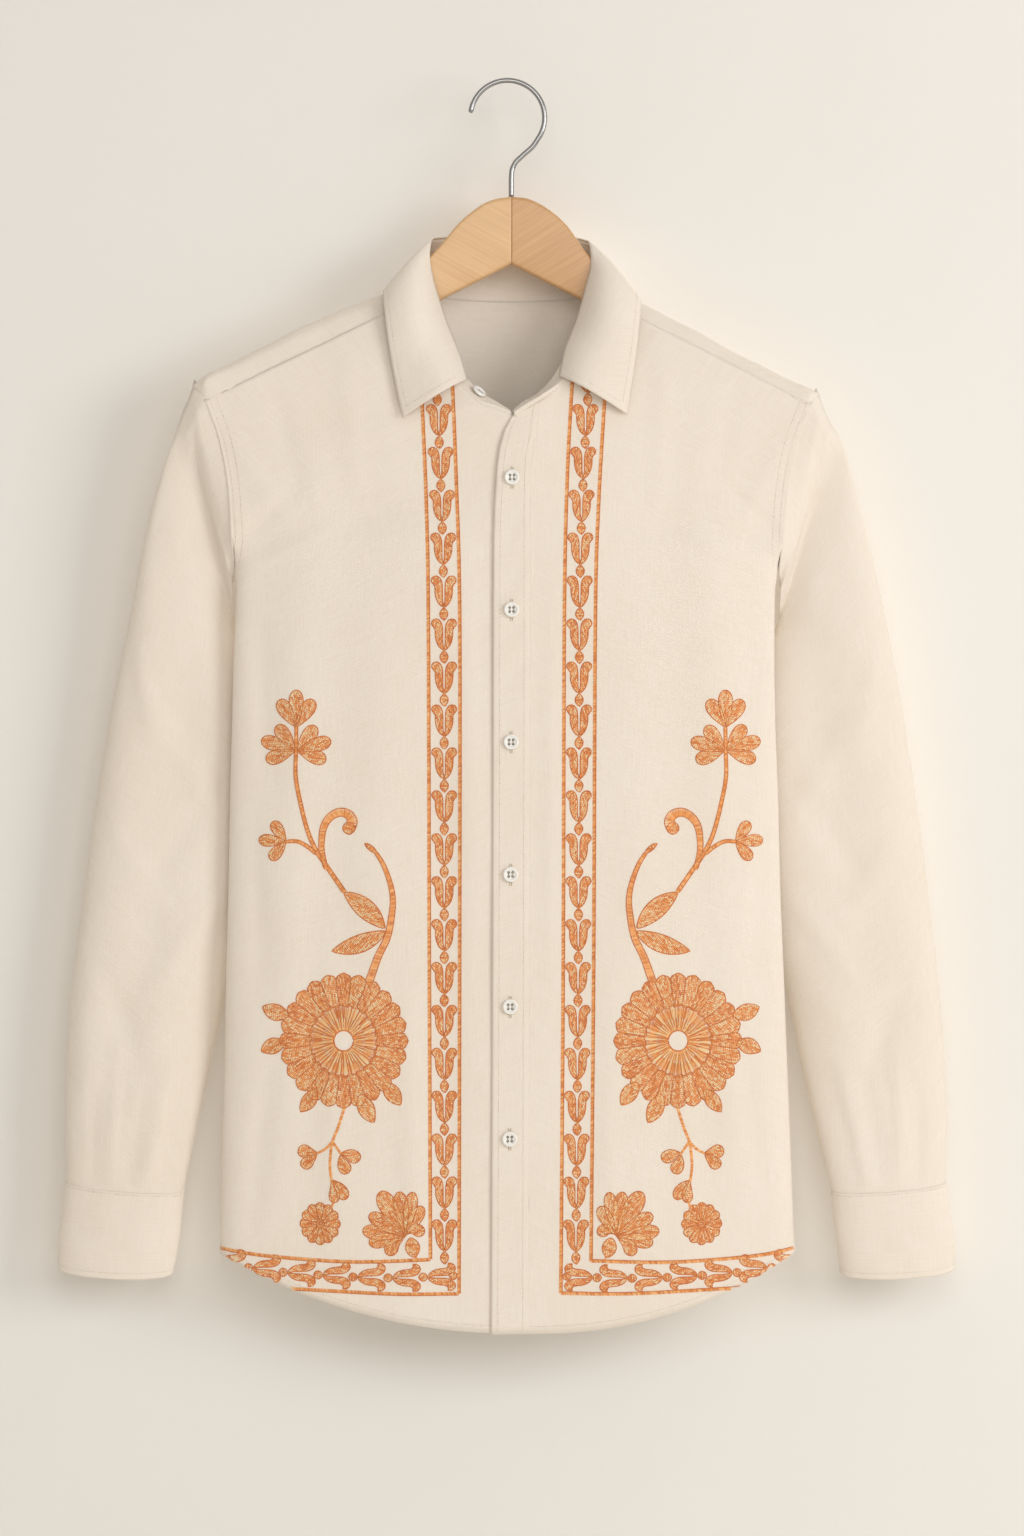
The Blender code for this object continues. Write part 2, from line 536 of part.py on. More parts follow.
def sleeve_grid(side, sides):
    """Outer face of a sleeve: a strip level with the front beside the armhole seam, a fold back, and
    the hanging tube below, whose soft lengthwise folds are a cosine round the ring."""
    seam = armhole_ring(side, sides)
    angle = np.arange(sides) * 2 * np.pi / sides
    low = (0.5 * (1 - np.cos(angle)))[:, None]
    front = np.clip(np.sin(angle), 0, 1)[:, None]
    back = np.clip(-np.sin(angle), 0, 1)[:, None]
    rings = [seam]
    for *offsets, front_out, back_out, front_depth, back_depth in SLEEVE_HEAD:
        top, underarm = np.array(offsets[0:3]) * (side, 1, 1), np.array(offsets[3:6]) * (side, 1, 1)
        rings.append(seam + (1 - low) * top + low * underarm
                     + front * (side * front_out, front_depth, 0.0)
                     + back * (side * back_out, back_depth, 0.0))
    for number, row in enumerate(SLEEVE):
        rings.append(ring(side, row, sides, RING_BOW * number / (len(SLEEVE) - 1)))
    grid = np.stack(rings)
    along = np.linspace(0, 1, len(grid))[:, None]
    middle = grid.mean(axis=1, keepdims=True)
    wave = np.cos(FOLD_COUNT * angle[None, :] + 1.3 + 1.6 * along)
    fade = np.clip((along - 0.3) * 4, 0, 1) * np.clip((1 - along) * 6, 0, 1)
    away = (grid - middle) * (1.0, 1.0, 0.0)
    away = away / np.linalg.norm(away, axis=-1, keepdims=True)
    return grid + away * (FOLD_DEPTH * wave * fade)[..., None] * np.array((0.3, 1.0, 0.0))


# Rings of both cuffs from the sleeve seam to the lower edge
CUFF = [
    # outer_z, right_outer_x, left_outer_x, inner_z, right_inner_x, left_inner_x,
    # outer_y, inner_y, half_front, half_back
    (-827.5, -334.0, 331.0, -834.5, -244.1, 244.1, 7.0, 8.0, 16.4, 16.4),
    (-853.0, -336.9, 334.8, -856.0, -246.1, 246.2, 7.0, 8.0, 16.6, 16.6),
    (-877.0, -340.0, 338.0, -879.0, -249.2, 248.8, 7.0, 8.0, 17.0, 17.0),
    (-893.0, -339.6, 338.0, -897.0, -252.6, 251.2, 7.0, 8.0, 17.2, 17.2),
]
CUFF_BOW = 6.0


def cuff_grid(side, sides):
    """Outer face of a cuff, a short wide tube a little proud of the sleeve."""
    bows = np.linspace(RING_BOW, CUFF_BOW, len(CUFF))
    grid = np.stack([ring(side, row, sides, bow) for row, bow in zip(CUFF, bows)])
    grid[0, :, 2] -= LAP_GAP
    return grid


# Roll line and outer edge of the collar leaf, from the right point round the back to the left point
LEAF = [
    # roll_x, roll_y, roll_z, edge_x, edge_y, edge_z
    (-31.5, -31.0, -228.0, -78.6, -42.5, -254.3),
    (-36.6, -24.5, -209.5, -81.5, -41.5, -241.0),
    (-46.5, -16.0, -183.5, -85.6, -38.5, -220.0),
    (-56.0, -12.5, -153.0, -90.4, -33.0, -190.0),
    (-60.0, -10.5, -134.0, -93.0, -23.0, -166.5),
    (-60.5, -4.5, -124.0, -93.6, -10.0, -155.8),
    (-59.5, 4.5, -120.0, -92.6, 6.0, -155.8),
    (-53.0, 16.0, -118.0, -83.0, 26.0, -161.5),
    (-32.0, 26.0, -117.0, -50.0, 39.0, -166.0),
    (2.0, 29.0, -116.5, 2.0, 43.0, -168.0),
    (36.0, 26.0, -117.0, 54.0, 39.0, -167.0),
    (57.0, 16.0, -119.0, 88.0, 26.0, -164.0),
    (64.0, 4.5, -122.5, 99.0, 6.0, -160.4),
    (65.0, -4.5, -127.0, 100.0, -10.0, -160.6),
    (64.5, -10.5, -138.0, 100.2, -23.0, -170.0),
    (60.5, -12.5, -154.0, 98.2, -33.0, -192.0),
    (53.0, -16.0, -181.0, 94.6, -38.5, -220.0),
    (43.5, -24.5, -207.5, 91.4, -41.5, -240.0),
    (40.0, -32.0, -225.5, 89.6, -42.5, -252.0),
]
LEAF_CROWN = 10.0
LEAF_FORWARD = 13.0
LEAF_LIFT = 1.9
LEAF_CROWN_PLACE = 0.38
LEAF_SPREAD = 1.15


def leaf_grid(columns, rows):
    """Outer face of the collar leaf: from the roll line to the edge as a quadratic curve, crowned away
    from the stand."""
    section = smooth(LEAF, columns)
    roll, edge = section[:, 0:3] + (0.0, 0.0, LEAF_LIFT), section[:, 3:6]
    forward = np.clip((-edge[:, 1:2] - 15.0) / 20.0, 0, 1) * (0.0, -LEAF_FORWARD, 0.0)
    along = np.gradient(roll + edge, axis=0)
    out = np.cross(along, edge - roll)
    out = out / np.linalg.norm(out, axis=1, keepdims=True)
    crown = roll + LEAF_CROWN_PLACE * (edge - roll) + LEAF_CROWN * out + forward
    t = np.linspace(0, 1, rows)[None, :, None] ** LEAF_SPREAD
    return (1 - t) ** 2 * roll[:, None] + 2 * t * (1 - t) * crown[:, None] + t ** 2 * edge[:, None]


def stand_grid(columns, rows):
    """Outer face of the collar stand: an upright edge on the neck seam, then straight to its top."""
    section = smooth(NECK, columns)
    seam, top = section[:, None, 0:3], section[:, None, 3:6]
    base = seam + (0.0, 0.0, STAND_FOOT)
    t = np.linspace(0, 1, rows)[None, :, None]
    return np.concatenate([seam, base * (1 - t) + top * t], axis=1)


def button(name, centre, normal):
    """A turned button with a raised rim, its back face LAP_GAP off the cloth; `normal` points away
    from the cloth."""
    radius, high = 0.5 * BUTTON_DIAMETER, BUTTON_THICKNESS
    profile = [(0.0, 0.62 * high), (0.55 * radius, 0.62 * high), (0.72 * radius, high),
               (0.88 * radius, high), (radius, 0.55 * high), (0.8 * radius, 0.0), (0.0, 0.0)]
    mesh = bpy.data.meshes.new(name)
    points = [(r * MM, 0.0, h * MM) for r, h in profile]
    edges = [(k, k + 1) for k in range(len(points) - 1)]
    mesh.from_pydata(points, edges, [])
    piece = add_object(name, mesh, (SHELL_WHITE, 0.3, 0.0))
    turn = piece.modifiers.new("turned", "SCREW")
    turn.axis = "Z"
    turn.steps = 14
    turn.render_steps = 14
    turn.use_merge_vertices = True
    turn.merge_threshold = 0.00001
    normal = np.array(normal, dtype=float) / np.linalg.norm(normal)
    pitch = math.acos(max(-1.0, min(1.0, normal[2])))
    yaw = math.atan2(normal[1], normal[0])
    piece.rotation_euler = (0.0, pitch, yaw)
    piece.location = (np.array(centre) + normal * LAP_GAP) * MM
    return piece


# The wood of the hanger, by the distance from its centre seam
WOOD = [
    # distance, right_top, right_bottom, left_top, left_bottom
    (0.15, -86.0, -136.9, -86.0, -136.9),
    (10.3, -87.4, -142.1, -86.9, -142.1),
    (20.0, -90.8, -147.1, -90.5, -147.1),
    (28.3, -96.4, -151.3, -95.5, -151.3),
    (36.0, -102.6, -155.2, -101.5, -155.2),
    (43.0, -109.9, -158.7, -108.8, -158.7),
    (49.0, -117.4, -161.8, -117.2, -161.8),
    (54.0, -123.4, -164.6, -124.8, -164.6),
    (60.8, -130.2, -168.3, -132.8, -168.3),
    (78.0, -147.2, -177.0, -149.8, -177.0),
    (96.0, -162.3, -187.0, -168.4, -189.0),
    (143.0, -181.8, -211.0, -192.4, -216.0),
    (183.0, -201.3, -231.5, -213.9, -239.0),
    (209.0, -215.2, -244.5, -226.4, -252.0),
    (216.0, -221.5, -240.5, -233.5, -248.0),
]
WOOD_CHAMFER = 3.8
WOOD_CLEARANCE = 0.7
SHOULDER_DISTANCE = 60.0


def hanger_arm(name, side):
    """One wood half: chamfered rectangles lofted from the centre seam to the tip, which bends
    forward."""
    sections = []
    for distance, right_top, right_bottom, left_top, left_bottom in WOOD:
        top, bottom = (right_top, right_bottom) if side == RIGHT else (left_top, left_bottom)
        top = top - WOOD_CLEARANCE * (distance > SHOULDER_DISTANCE)
        x = WOOD_SEAM_X + side * distance
        y = -WOOD_TIP_FORWARD * (distance / WOOD_REACH) ** 2
        half = 0.5 * WOOD_THICKNESS - 1.0 * (distance / WOOD_REACH) ** 2
        cut = WOOD_CHAMFER
        sections.append([(x, y - half + cut, top), (x, y + half - cut, top), (x, y + half, top - cut),
                         (x, y + half, bottom + cut), (x, y + half - cut, bottom),
                         (x, y - half + cut, bottom), (x, y - half, bottom + cut), (x, y - half, top - cut)])
    mesh = bpy.data.meshes.new(name)
    build = bmesh.new()
    loops = [[build.verts.new(np.array(point) * MM) for point in section] for section in sections]
    for first, second in zip(loops, loops[1:]):
        for k in range(len(first)):
            build.faces.new((first[k], first[k - 1], second[k - 1], second[k]))
    build.faces.new(loops[0])
    build.faces.new(loops[-1][::-1])
    bmesh.ops.recalc_face_normals(build, faces=build.faces)
    build.to_mesh(mesh)
    build.free()
    return add_object(name, mesh, (WOOD_COLOUR, 0.5, 0.0))


# The wire below the hook's arc, down to the wood
HOOK_BEND = [
    # x, z
    (19.0, -47.8),
    (11.5, -54.6),
    (5.6, -60.6),
    (3.2, -67.0),
    (2.85, -75.0),
    (2.85, -85.6),
]


def hanger_hook():
    """The hook: an arc of round wire over the seat, bent back under its centre into a straight shank
    that ends on the wood."""
    centre_z = 0.5 * HOOK_WIRE - HOOK_RADIUS
    angles = np.radians(np.linspace(169.0, -30.0, 22))
    arc = [(HOOK_RADIUS * math.cos(a), centre_z + HOOK_RADIUS * math.sin(a)) for a in angles]
    route = arc[:-1] + [tuple(point) for point in smooth([arc[-1], *HOOK_BEND], 14)]
    curve = bpy.data.curves.new("hanger_hook", "CURVE")
    curve.dimensions = "3D"
    curve.bevel_depth = 0.5 * HOOK_WIRE * MM
    curve.bevel_resolution = 2
    curve.use_fill_caps = True
    line = curve.splines.new("POLY")
    line.points.add(len(route) - 1)
    for point, (x, z) in zip(line.points, route):
        point.co = (x * MM, 0.0, z * MM, 1.0)
    return add_object("hanger_hook", curve, (STEEL, 0.25, 1.0))


def placket_y(z):
    """Outer face of the placket at its middle, at height z."""
    grid = placket_grid(3)[:, 1]
    return float(np.interp(-z, -grid[:, 2], grid[:, 1]))


for old in list(bpy.data.objects):
    bpy.data.objects.remove(old, do_unlink=True)
shirt = bpy.data.collections.new("shirt_on_hanger")
bpy.context.scene.collection.children.link(shirt)

cloth("front_right", front_grid(RIGHT, FRONT_ROWS, FRONT_COLUMNS))
cloth("front_left", front_grid(LEFT, FRONT_ROWS, FRONT_COLUMNS), flip=True)
cloth("placket", placket_grid(3), flip=True)
cloth("back", back_grid(BACK_ROWS, BACK_COLUMNS))
cloth("yoke", yoke_grid(YOKE_COLUMNS), flip=True)
cloth("sleeve_right", sleeve_grid(RIGHT, SLEEVE_SIDES), closed=True, flip=True)
cloth("sleeve_left", sleeve_grid(LEFT, SLEEVE_SIDES), closed=True)
cloth("cuff_right", cuff_grid(RIGHT, SLEEVE_SIDES), closed=True, flip=True, wall=CUFF_CLOTH)
cloth("cuff_left", cuff_grid(LEFT, SLEEVE_SIDES), closed=True, wall=CUFF_CLOTH)
cloth("collar_stand", stand_grid(COLLAR_COLUMNS, 3))
cloth("collar_leaf", leaf_grid(COLLAR_COLUMNS, 5), flip=True)

for number in range(BUTTON_COUNT):
    button_z = FIRST_BUTTON_Z - BUTTON_PITCH * number
    button_x = FIRST_BUTTON_X - BUTTON_DRIFT * number
    button(f"button_{number + 1}", (button_x, placket_y(button_z), button_z), (0, -1, 0))
stand = stand_grid(len(NECK), 3)
stand_normal = np.cross(stand[2, 3] - stand[2, 1], stand[3, 2] - stand[2, 2])
button("button_collar", 0.75 * stand[2, 2] + 0.25 * stand[3, 2] + COLLAR_BUTTON_LIFT, stand_normal)
for side, name in ((RIGHT, "button_cuff_right"), (LEFT, "button_cuff_left")):
    button(name, cuff_grid(side, 4)[1, 3] + CUFF_BUTTON_LIFT, (0, 1, 0))

hanger_arm("hanger_arm_right", RIGHT)
hanger_arm("hanger_arm_left", LEFT)
hanger_hook()
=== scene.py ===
"""Dressed model of a long-sleeved shirt of cream cloth on a wooden hanger, with stitched bands and flowers.

Sizes and tables are in millimetres and become metres in the meshes. X runs to the wearer's left, Y from
the front to the back and Z up, and the origin is the seat of the hook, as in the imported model.
"""
import math

import bpy
import numpy as np
from mathutils.bvhtree import BVHTree
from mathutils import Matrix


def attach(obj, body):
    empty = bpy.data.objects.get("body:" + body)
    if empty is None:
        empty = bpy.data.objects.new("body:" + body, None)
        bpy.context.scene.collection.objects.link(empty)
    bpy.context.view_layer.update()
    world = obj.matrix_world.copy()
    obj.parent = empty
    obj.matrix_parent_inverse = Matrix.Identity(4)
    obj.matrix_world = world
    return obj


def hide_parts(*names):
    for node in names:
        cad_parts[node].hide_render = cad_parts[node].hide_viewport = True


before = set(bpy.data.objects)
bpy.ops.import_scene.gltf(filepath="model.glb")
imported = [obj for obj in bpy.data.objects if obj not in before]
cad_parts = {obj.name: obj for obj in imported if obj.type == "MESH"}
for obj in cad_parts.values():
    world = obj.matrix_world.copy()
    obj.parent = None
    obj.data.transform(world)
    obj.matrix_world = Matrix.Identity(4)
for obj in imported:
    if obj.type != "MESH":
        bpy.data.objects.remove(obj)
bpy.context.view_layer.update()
scene = bpy.context.scene

# Camera, light, wall and floor: a long lens looks straight along +Y, a large soft light stands on the right
# and a wider one before the shirt. A warm white wall close behind takes its soft shadow, and the pale floor
# lies below the frame. Both let light and looks from behind through, so that the back is lit and seen.
MM = 0.001
CAMERA_X, CAMERA_Z = 3.4, -516.4
FRAME_HEIGHT = 1152.0
CAMERA_DISTANCE = 4200.0
CLOTH_FACE_Y = -22.0
SENSOR = 36.0
WALL_Y = 50.0
FLOOR_Z = -1500.0
STAGE_HALF_WIDTH = 2600.0
WALL_TOP_Z = 1600.0


def aim(thing, place, target):
    """Stand a light or camera at place, with its -Z axis along the line to the target."""
    thing.location = [value * MM for value in place]
    line = np.array(target, dtype=float) - np.array(place, dtype=float)
    thing.rotation_euler = (math.atan2(math.hypot(line[0], line[1]), -line[2]), 0.0,
                            math.atan2(-line[0], line[1]))


def area_light(name, place, target, size, watts, colour):
    """A square soft light."""
    data = bpy.data.lights.new(name, "AREA")
    data.size = size * MM
    data.energy = watts
    data.color = colour
    light = bpy.data.objects.new(name, data)
    scene.collection.objects.link(light)
    aim(light, place, target)


camera_data = bpy.data.cameras.new("front_camera")
camera_data.sensor_width = SENSOR
camera_data.lens = SENSOR * CAMERA_DISTANCE / FRAME_HEIGHT
camera = bpy.data.objects.new("front_camera", camera_data)
scene.collection.objects.link(camera)
aim(camera, (CAMERA_X, CLOTH_FACE_Y - CAMERA_DISTANCE, CAMERA_Z), (CAMERA_X, 0.0, CAMERA_Z))
scene.camera = camera
scene.view_settings.view_transform = "Standard"

area_light("key_light", (2400, -2200, 50), (0, 0, -500), 1400, 36.0, (0.98, 0.99, 1.0))
area_light("fill_light", (300, -3500, 500), (0, 0, -450), 1800, 26.0, (1.0, 0.99, 0.97))
area_light("back_light", (900, 2600, 700), (0, 0, -450), 1500, 45.0, (1.0, 0.98, 0.96))

world = bpy.data.worlds.new("room")
world.use_nodes = True
background = world.node_tree.nodes["Background"]
background.inputs["Color"].default_value = (0.93, 0.885, 0.83, 1.0)
background.inputs["Strength"].default_value = 0.575
scene.world = world


def paint(name, inputs):
    """A Principled material with these plain inputs; returns it with its node tree and shader."""
    made = bpy.data.materials.new(name)
    made.use_nodes = True
    shader = made.node_tree.nodes["Principled BSDF"]
    for label, value in inputs.items():
        shader.inputs[label].default_value = value
    return made, made.node_tree, shader


def add_node(tree, kind, inputs=None, **settings):
    """A shader node with its settings; an input takes a plain value, or a link where that is a socket."""
    node = tree.nodes.new(f"ShaderNode{kind}")
    for name, value in settings.items():
        setattr(node, name, value)
    for name, value in (inputs or {}).items():
        if isinstance(value, bpy.types.NodeSocket):
            tree.links.new(value, node.inputs[name])
        else:
            node.inputs[name].default_value = value
    return node


def maths(tree, operation, *values):
    """A Math node on one or two links or numbers; returns its output."""
    return add_node(tree, "Math", dict(enumerate(values)), operation=operation).outputs[0]


def noise_on(tree, place, scale, detail=2.0, distortion=0.0):
    """A noise over a vector; returns its value."""
    inputs = {"Vector": place, "Scale": scale, "Detail": detail, "Distortion": distortion}
    return add_node(tree, "TexNoise", inputs).outputs["Fac"]


def ramp_of(tree, value, *stops):
    """The colour at a value from 0 to 1 between stops, each a place and a colour."""
    ramp = add_node(tree, "ValToRGB", {"Fac": value})
    elements = ramp.color_ramp.elements
    if len(stops) > 2:
        elements.new(0.5)
    for element, (place, colour) in zip(elements, stops):
        element.position = place
        element.color = (*colour, 1.0)
    return ramp.outputs["Color"]


def wall_paint():
    """Warm white plaster, uneven by a slow noise, see-through from behind and to light rays."""
    made, tree, shader = paint("wall_plaster", {"Roughness": 0.95})
    noise = noise_on(tree, add_node(tree, "TexCoord").outputs["Object"], 2.2, detail=3.0)
    white = ramp_of(tree, noise, (0.0, (0.80, 0.775, 0.725)), (1.0, (0.85, 0.825, 0.785)))
    tree.links.new(white, shader.inputs["Base Color"])
    behind = add_node(tree, "NewGeometry").outputs["Backfacing"]
    to_light = add_node(tree, "LightPath").outputs["Is Shadow Ray"]
    clear = add_node(tree, "BsdfTransparent").outputs["BSDF"]
    mix = add_node(tree, "MixShader", {0: maths(tree, "MAXIMUM", behind, to_light), 1: shader.outputs["BSDF"],
                                       2: clear})
    tree.links.new(mix.outputs["Shader"], tree.nodes["Material Output"].inputs["Surface"])
    return made


def stage_plane(name, corners, finish):
    """A flat stage piece with corners in millimetres."""
    mesh = bpy.data.meshes.new(name)
    mesh.from_pydata([[value * MM for value in corner] for corner in corners], [], [(0, 1, 2, 3)])
    mesh.materials.append(finish)
    plane = bpy.data.objects.new(name, mesh)
    scene.collection.objects.link(plane)


plaster = wall_paint()
wide = STAGE_HALF_WIDTH
stage_plane("wall", [(-wide, WALL_Y, FLOOR_Z), (wide, WALL_Y, FLOOR_Z), (wide, WALL_Y, WALL_TOP_Z),
                     (-wide, WALL_Y, WALL_TOP_Z)], plaster)
stage_plane("floor", [(-wide, -wide, FLOOR_Z), (wide, -wide, FLOOR_Z), (wide, WALL_Y, FLOOR_Z),
                      (-wide, WALL_Y, FLOOR_Z)], plaster)

# The cream cloth: a plain weave of cotton and linen with thicker and thinner threads, cut into panels of one
# thin layer. Every panel is a grid of points (row, column, xyz) given a wall; its UV map holds millimetres
# along the threads.
PANEL_WALL = 0.6
CREAM_PALE = (0.865, 0.785, 0.69)
CREAM_DEEP = (0.815, 0.72, 0.605)
THREAD_PITCH = 0.62


def weave_group():
    """Plain weave from the UV map in millimetres: Height is sin(u)*sin(v) at the thread pitch plus slubs,
    which are noise stretched along each thread; Slub alone, from 0 to 1, tints the threads."""
    tree = bpy.data.node_groups.new("plain_weave", "ShaderNodeTree")
    for label, value in (("Pitch", THREAD_PITCH), ("Slub Share", 0.5)):
        tree.interface.new_socket(label, in_out="INPUT", socket_type="NodeSocketFloat").default_value = value
    for label in ("Height", "Slub"):
        tree.interface.new_socket(label, in_out="OUTPUT", socket_type="NodeSocketFloat")
    start, end = tree.nodes.new("NodeGroupInput"), tree.nodes.new("NodeGroupOutput")
    uv = add_node(tree, "UVMap", uv_map="cut").outputs["UV"]
    split = add_node(tree, "SeparateXYZ", {"Vector": uv})
    waves = []
    for axis in ("X", "Y"):
        turn = maths(tree, "DIVIDE", split.outputs[axis], start.outputs["Pitch"])
        waves.append(maths(tree, "SINE", maths(tree, "MULTIPLY", turn, math.pi)))
    slubs = []
    for scale in ((0.045, 1.5, 1.0), (1.5, 0.045, 1.0)):
        stretch = add_node(tree, "Mapping", {"Vector": uv, "Scale": scale})
        slubs.append(noise_on(tree, stretch.outputs["Vector"], 1.0, detail=1.0))
    slub = maths(tree, "MULTIPLY", maths(tree, "ADD", *slubs), 0.5)
    height = maths(tree, "ADD", maths(tree, "MULTIPLY", maths(tree, "MULTIPLY", *waves), 0.35),
                   maths(tree, "MULTIPLY", slub, start.outputs["Slub Share"]))
    tree.links.new(height, end.inputs["Height"])
    tree.links.new(slub, end.inputs["Slub"])
    return tree


WEAVE = weave_group()


def add_bump(tree, shader, height, strength, distance):
    """Bump from a height, on the shader's normal."""
    bump = add_node(tree, "Bump", {"Height": height, "Strength": strength, "Distance": distance})
    tree.links.new(bump.outputs["Normal"], shader.inputs["Normal"])


def shared(tree, first, second, share):
    """The first value times share plus the second times the rest of 1."""
    return maths(tree, "ADD", maths(tree, "MULTIPLY", first, share),
                 maths(tree, "MULTIPLY", second, 1.0 - share))


def cloth_paint(name):
    """Cream cloth: the slubs tint the threads, a slow noise clouds them, and the weave gives the bump."""
    made, tree, shader = paint(name, {"Roughness": 0.88, "Sheen Weight": 0.12, "Sheen Roughness": 0.6,
                                      "Specular IOR Level": 0.25})
    weave = add_node(tree, "Group", node_tree=WEAVE)
    cloud = noise_on(tree, add_node(tree, "TexCoord").outputs["Object"], 9.0, detail=4.0)
    blend = shared(tree, weave.outputs["Slub"], cloud, 0.75)
    tree.links.new(ramp_of(tree, blend, (0.36, CREAM_DEEP), (0.62, CREAM_PALE)), shader.inputs["Base Color"])
    add_bump(tree, shader, weave.outputs["Height"], 0.45, 0.00035)
    return made


def link(name, mesh, nodes):
    """Put a finished mesh or curve into the scene as a piece that stands for the given CAD nodes."""
    piece = bpy.data.objects.new(name, mesh)
    scene.collection.objects.link(piece)
    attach(piece, "root")
    if nodes:
        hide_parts(*nodes)
    return piece


def unit(vectors):
    """Vectors made one long."""
    return vectors / np.maximum(np.linalg.norm(vectors, axis=-1, keepdims=True), 1e-9)


def grid_normals(grid, closed, flip):
    """Outward unit normal at each grid point: the cross product of the two grid directions."""
    if closed:
        wrapped = np.concatenate([grid[:, -1:], grid, grid[:, :1]], axis=1)
        across = wrapped[:, 2:] - wrapped[:, :-2]
    else:
        across = np.gradient(grid, axis=1)
    return unit(np.cross(across, np.gradient(grid, axis=0)) * (-1 if flip else 1))


def arc_length(grid, axis):
    """Length along a path or the grid lines of one direction, from 0 at their start, in millimetres."""
    step = np.linalg.norm(np.diff(grid, axis=axis), axis=-1)
    pad = [(0, 0)] * step.ndim
    pad[axis] = (1, 0)
    return np.pad(np.cumsum(step, axis=axis), pad)


def carried_on(grid, edge, length, sink, normal):
    """The seam allowance: one more row, `length` beyond an edge and `sink` inwards, under its neighbour."""
    if edge in ("start", "end"):
        turned = carried_on(grid.transpose(1, 0, 2), "top" if edge == "start" else "bottom", length, sink,
                            normal.transpose(1, 0, 2))
        return turned.transpose(1, 0, 2)
    last, inner = (0, 1) if edge == "top" else (-1, -2)
    row = (grid[last] + unit(grid[last] - grid[inner]) * length - normal[last] * sink)[None]
    return np.concatenate([row, grid] if edge == "top" else [grid, row])


def smooth_mesh(name, points, faces, finish):
    """A smooth-shaded mesh in metres from points in millimetres, with its material."""
    mesh = bpy.data.meshes.new(name)
    mesh.from_pydata((points.reshape(-1, 3) * MM).tolist(), [], faces)
    mesh.shade_smooth()
    mesh.materials.append(finish)
    return mesh


PANELS = {}


def panel(name, node, grid, closed=False, flip=False, wall=PANEL_WALL):
    """A cut panel: quads between grid points, a UV map of arc lengths, and a wall set inwards."""
    rows, columns, _ = grid.shape
    number = np.arange(rows * columns).reshape(rows, columns)
    if closed:
        number = np.concatenate([number, number[:, :1]], axis=1)
    wide = np.concatenate([grid, grid[:, :1]], axis=1) if closed else grid
    cut = np.stack([arc_length(wide, 1), arc_length(wide, 0)], axis=-1)
    corners = [(slice(None, -1), slice(None, -1)), (slice(None, -1), slice(1, None)),
               (slice(1, None), slice(1, None)), (slice(1, None), slice(None, -1))]
    if flip:
        corners = corners[::-1]
    quads = np.stack([number[corner] for corner in corners], axis=-1).reshape(-1, 4)
    mesh = smooth_mesh(name, grid, quads.tolist(), cloth_paint(f"{name}_cloth"))
    layer = mesh.uv_layers.new(name="cut")
    layer.data.foreach_set("uv", np.stack([cut[corner] for corner in corners], axis=2).ravel())
    piece = link(name, mesh, [node])
    solidify = piece.modifiers.new("wall", "SOLIDIFY")
    solidify.thickness = wall * MM
    solidify.offset = -1.0
    normal = grid_normals(grid, closed, flip)
    PANELS[name] = wide, np.concatenate([normal, normal[:, :1]], axis=1) if closed else normal


def smooth(rows, count):
    """Smooth curve through the rows of a table, sampled at `count` even steps of row number. The slope
    at a row is the harmonic mean of the changes on its two sides, or none where they differ in sign,
    so the curve never swings past its rows."""
    rows = np.asarray(rows, dtype=float)
    change = np.diff(rows, axis=0)
    product = change[:-1] * change[1:]
    total = np.where(product > 0, change[:-1] + change[1:], 1.0)
    inner = np.where(product > 0, 2 * product / total, 0.0)
    slope = np.concatenate([change[:1], inner, change[-1:]])
    step = np.linspace(0, len(rows) - 1, count)
    index = np.minimum(step.astype(int), len(rows) - 2)
    t = (step - index).reshape((-1,) + (1,) * (rows.ndim - 1))
    return (rows[index] + slope[index] * t
            + (3 * change[index] - 2 * slope[index] - slope[index + 1]) * t ** 2
            + (slope[index] + slope[index + 1] - 2 * change[index]) * t ** 3)


def soft_noise(a, b, seed, waves, size):
    """Uneven ground: a number of slow waves in random directions, each about `size` long, about +-1."""
    draw = np.random.default_rng(seed)
    total = np.zeros_like(a)
    for _ in range(waves):
        turn, phase = draw.uniform(0, 2 * math.pi, 2)
        pace = 2 * math.pi / (size * draw.uniform(0.7, 1.5))
        total += np.sin((a * math.cos(turn) + b * math.sin(turn)) * pace + phase)
    return total / math.sqrt(waves)


# The fronts, wearer's right and left: one layer each from the yoke seam to a narrow turned hem that curves up
# at the sides. They hang almost flat, with soft lengthwise troughs where the cloth falls from the hanger.
RIGHT = -1
LEFT = 1
SEAM_GAP = 0.1
NECK_DROP = 0.5
SHOULDER_GAP = 0.1
LAP_GAP = 0.4
CLOTH = 1.2
HEM_TURN = 6.5
HEM_LIFT = 0.5

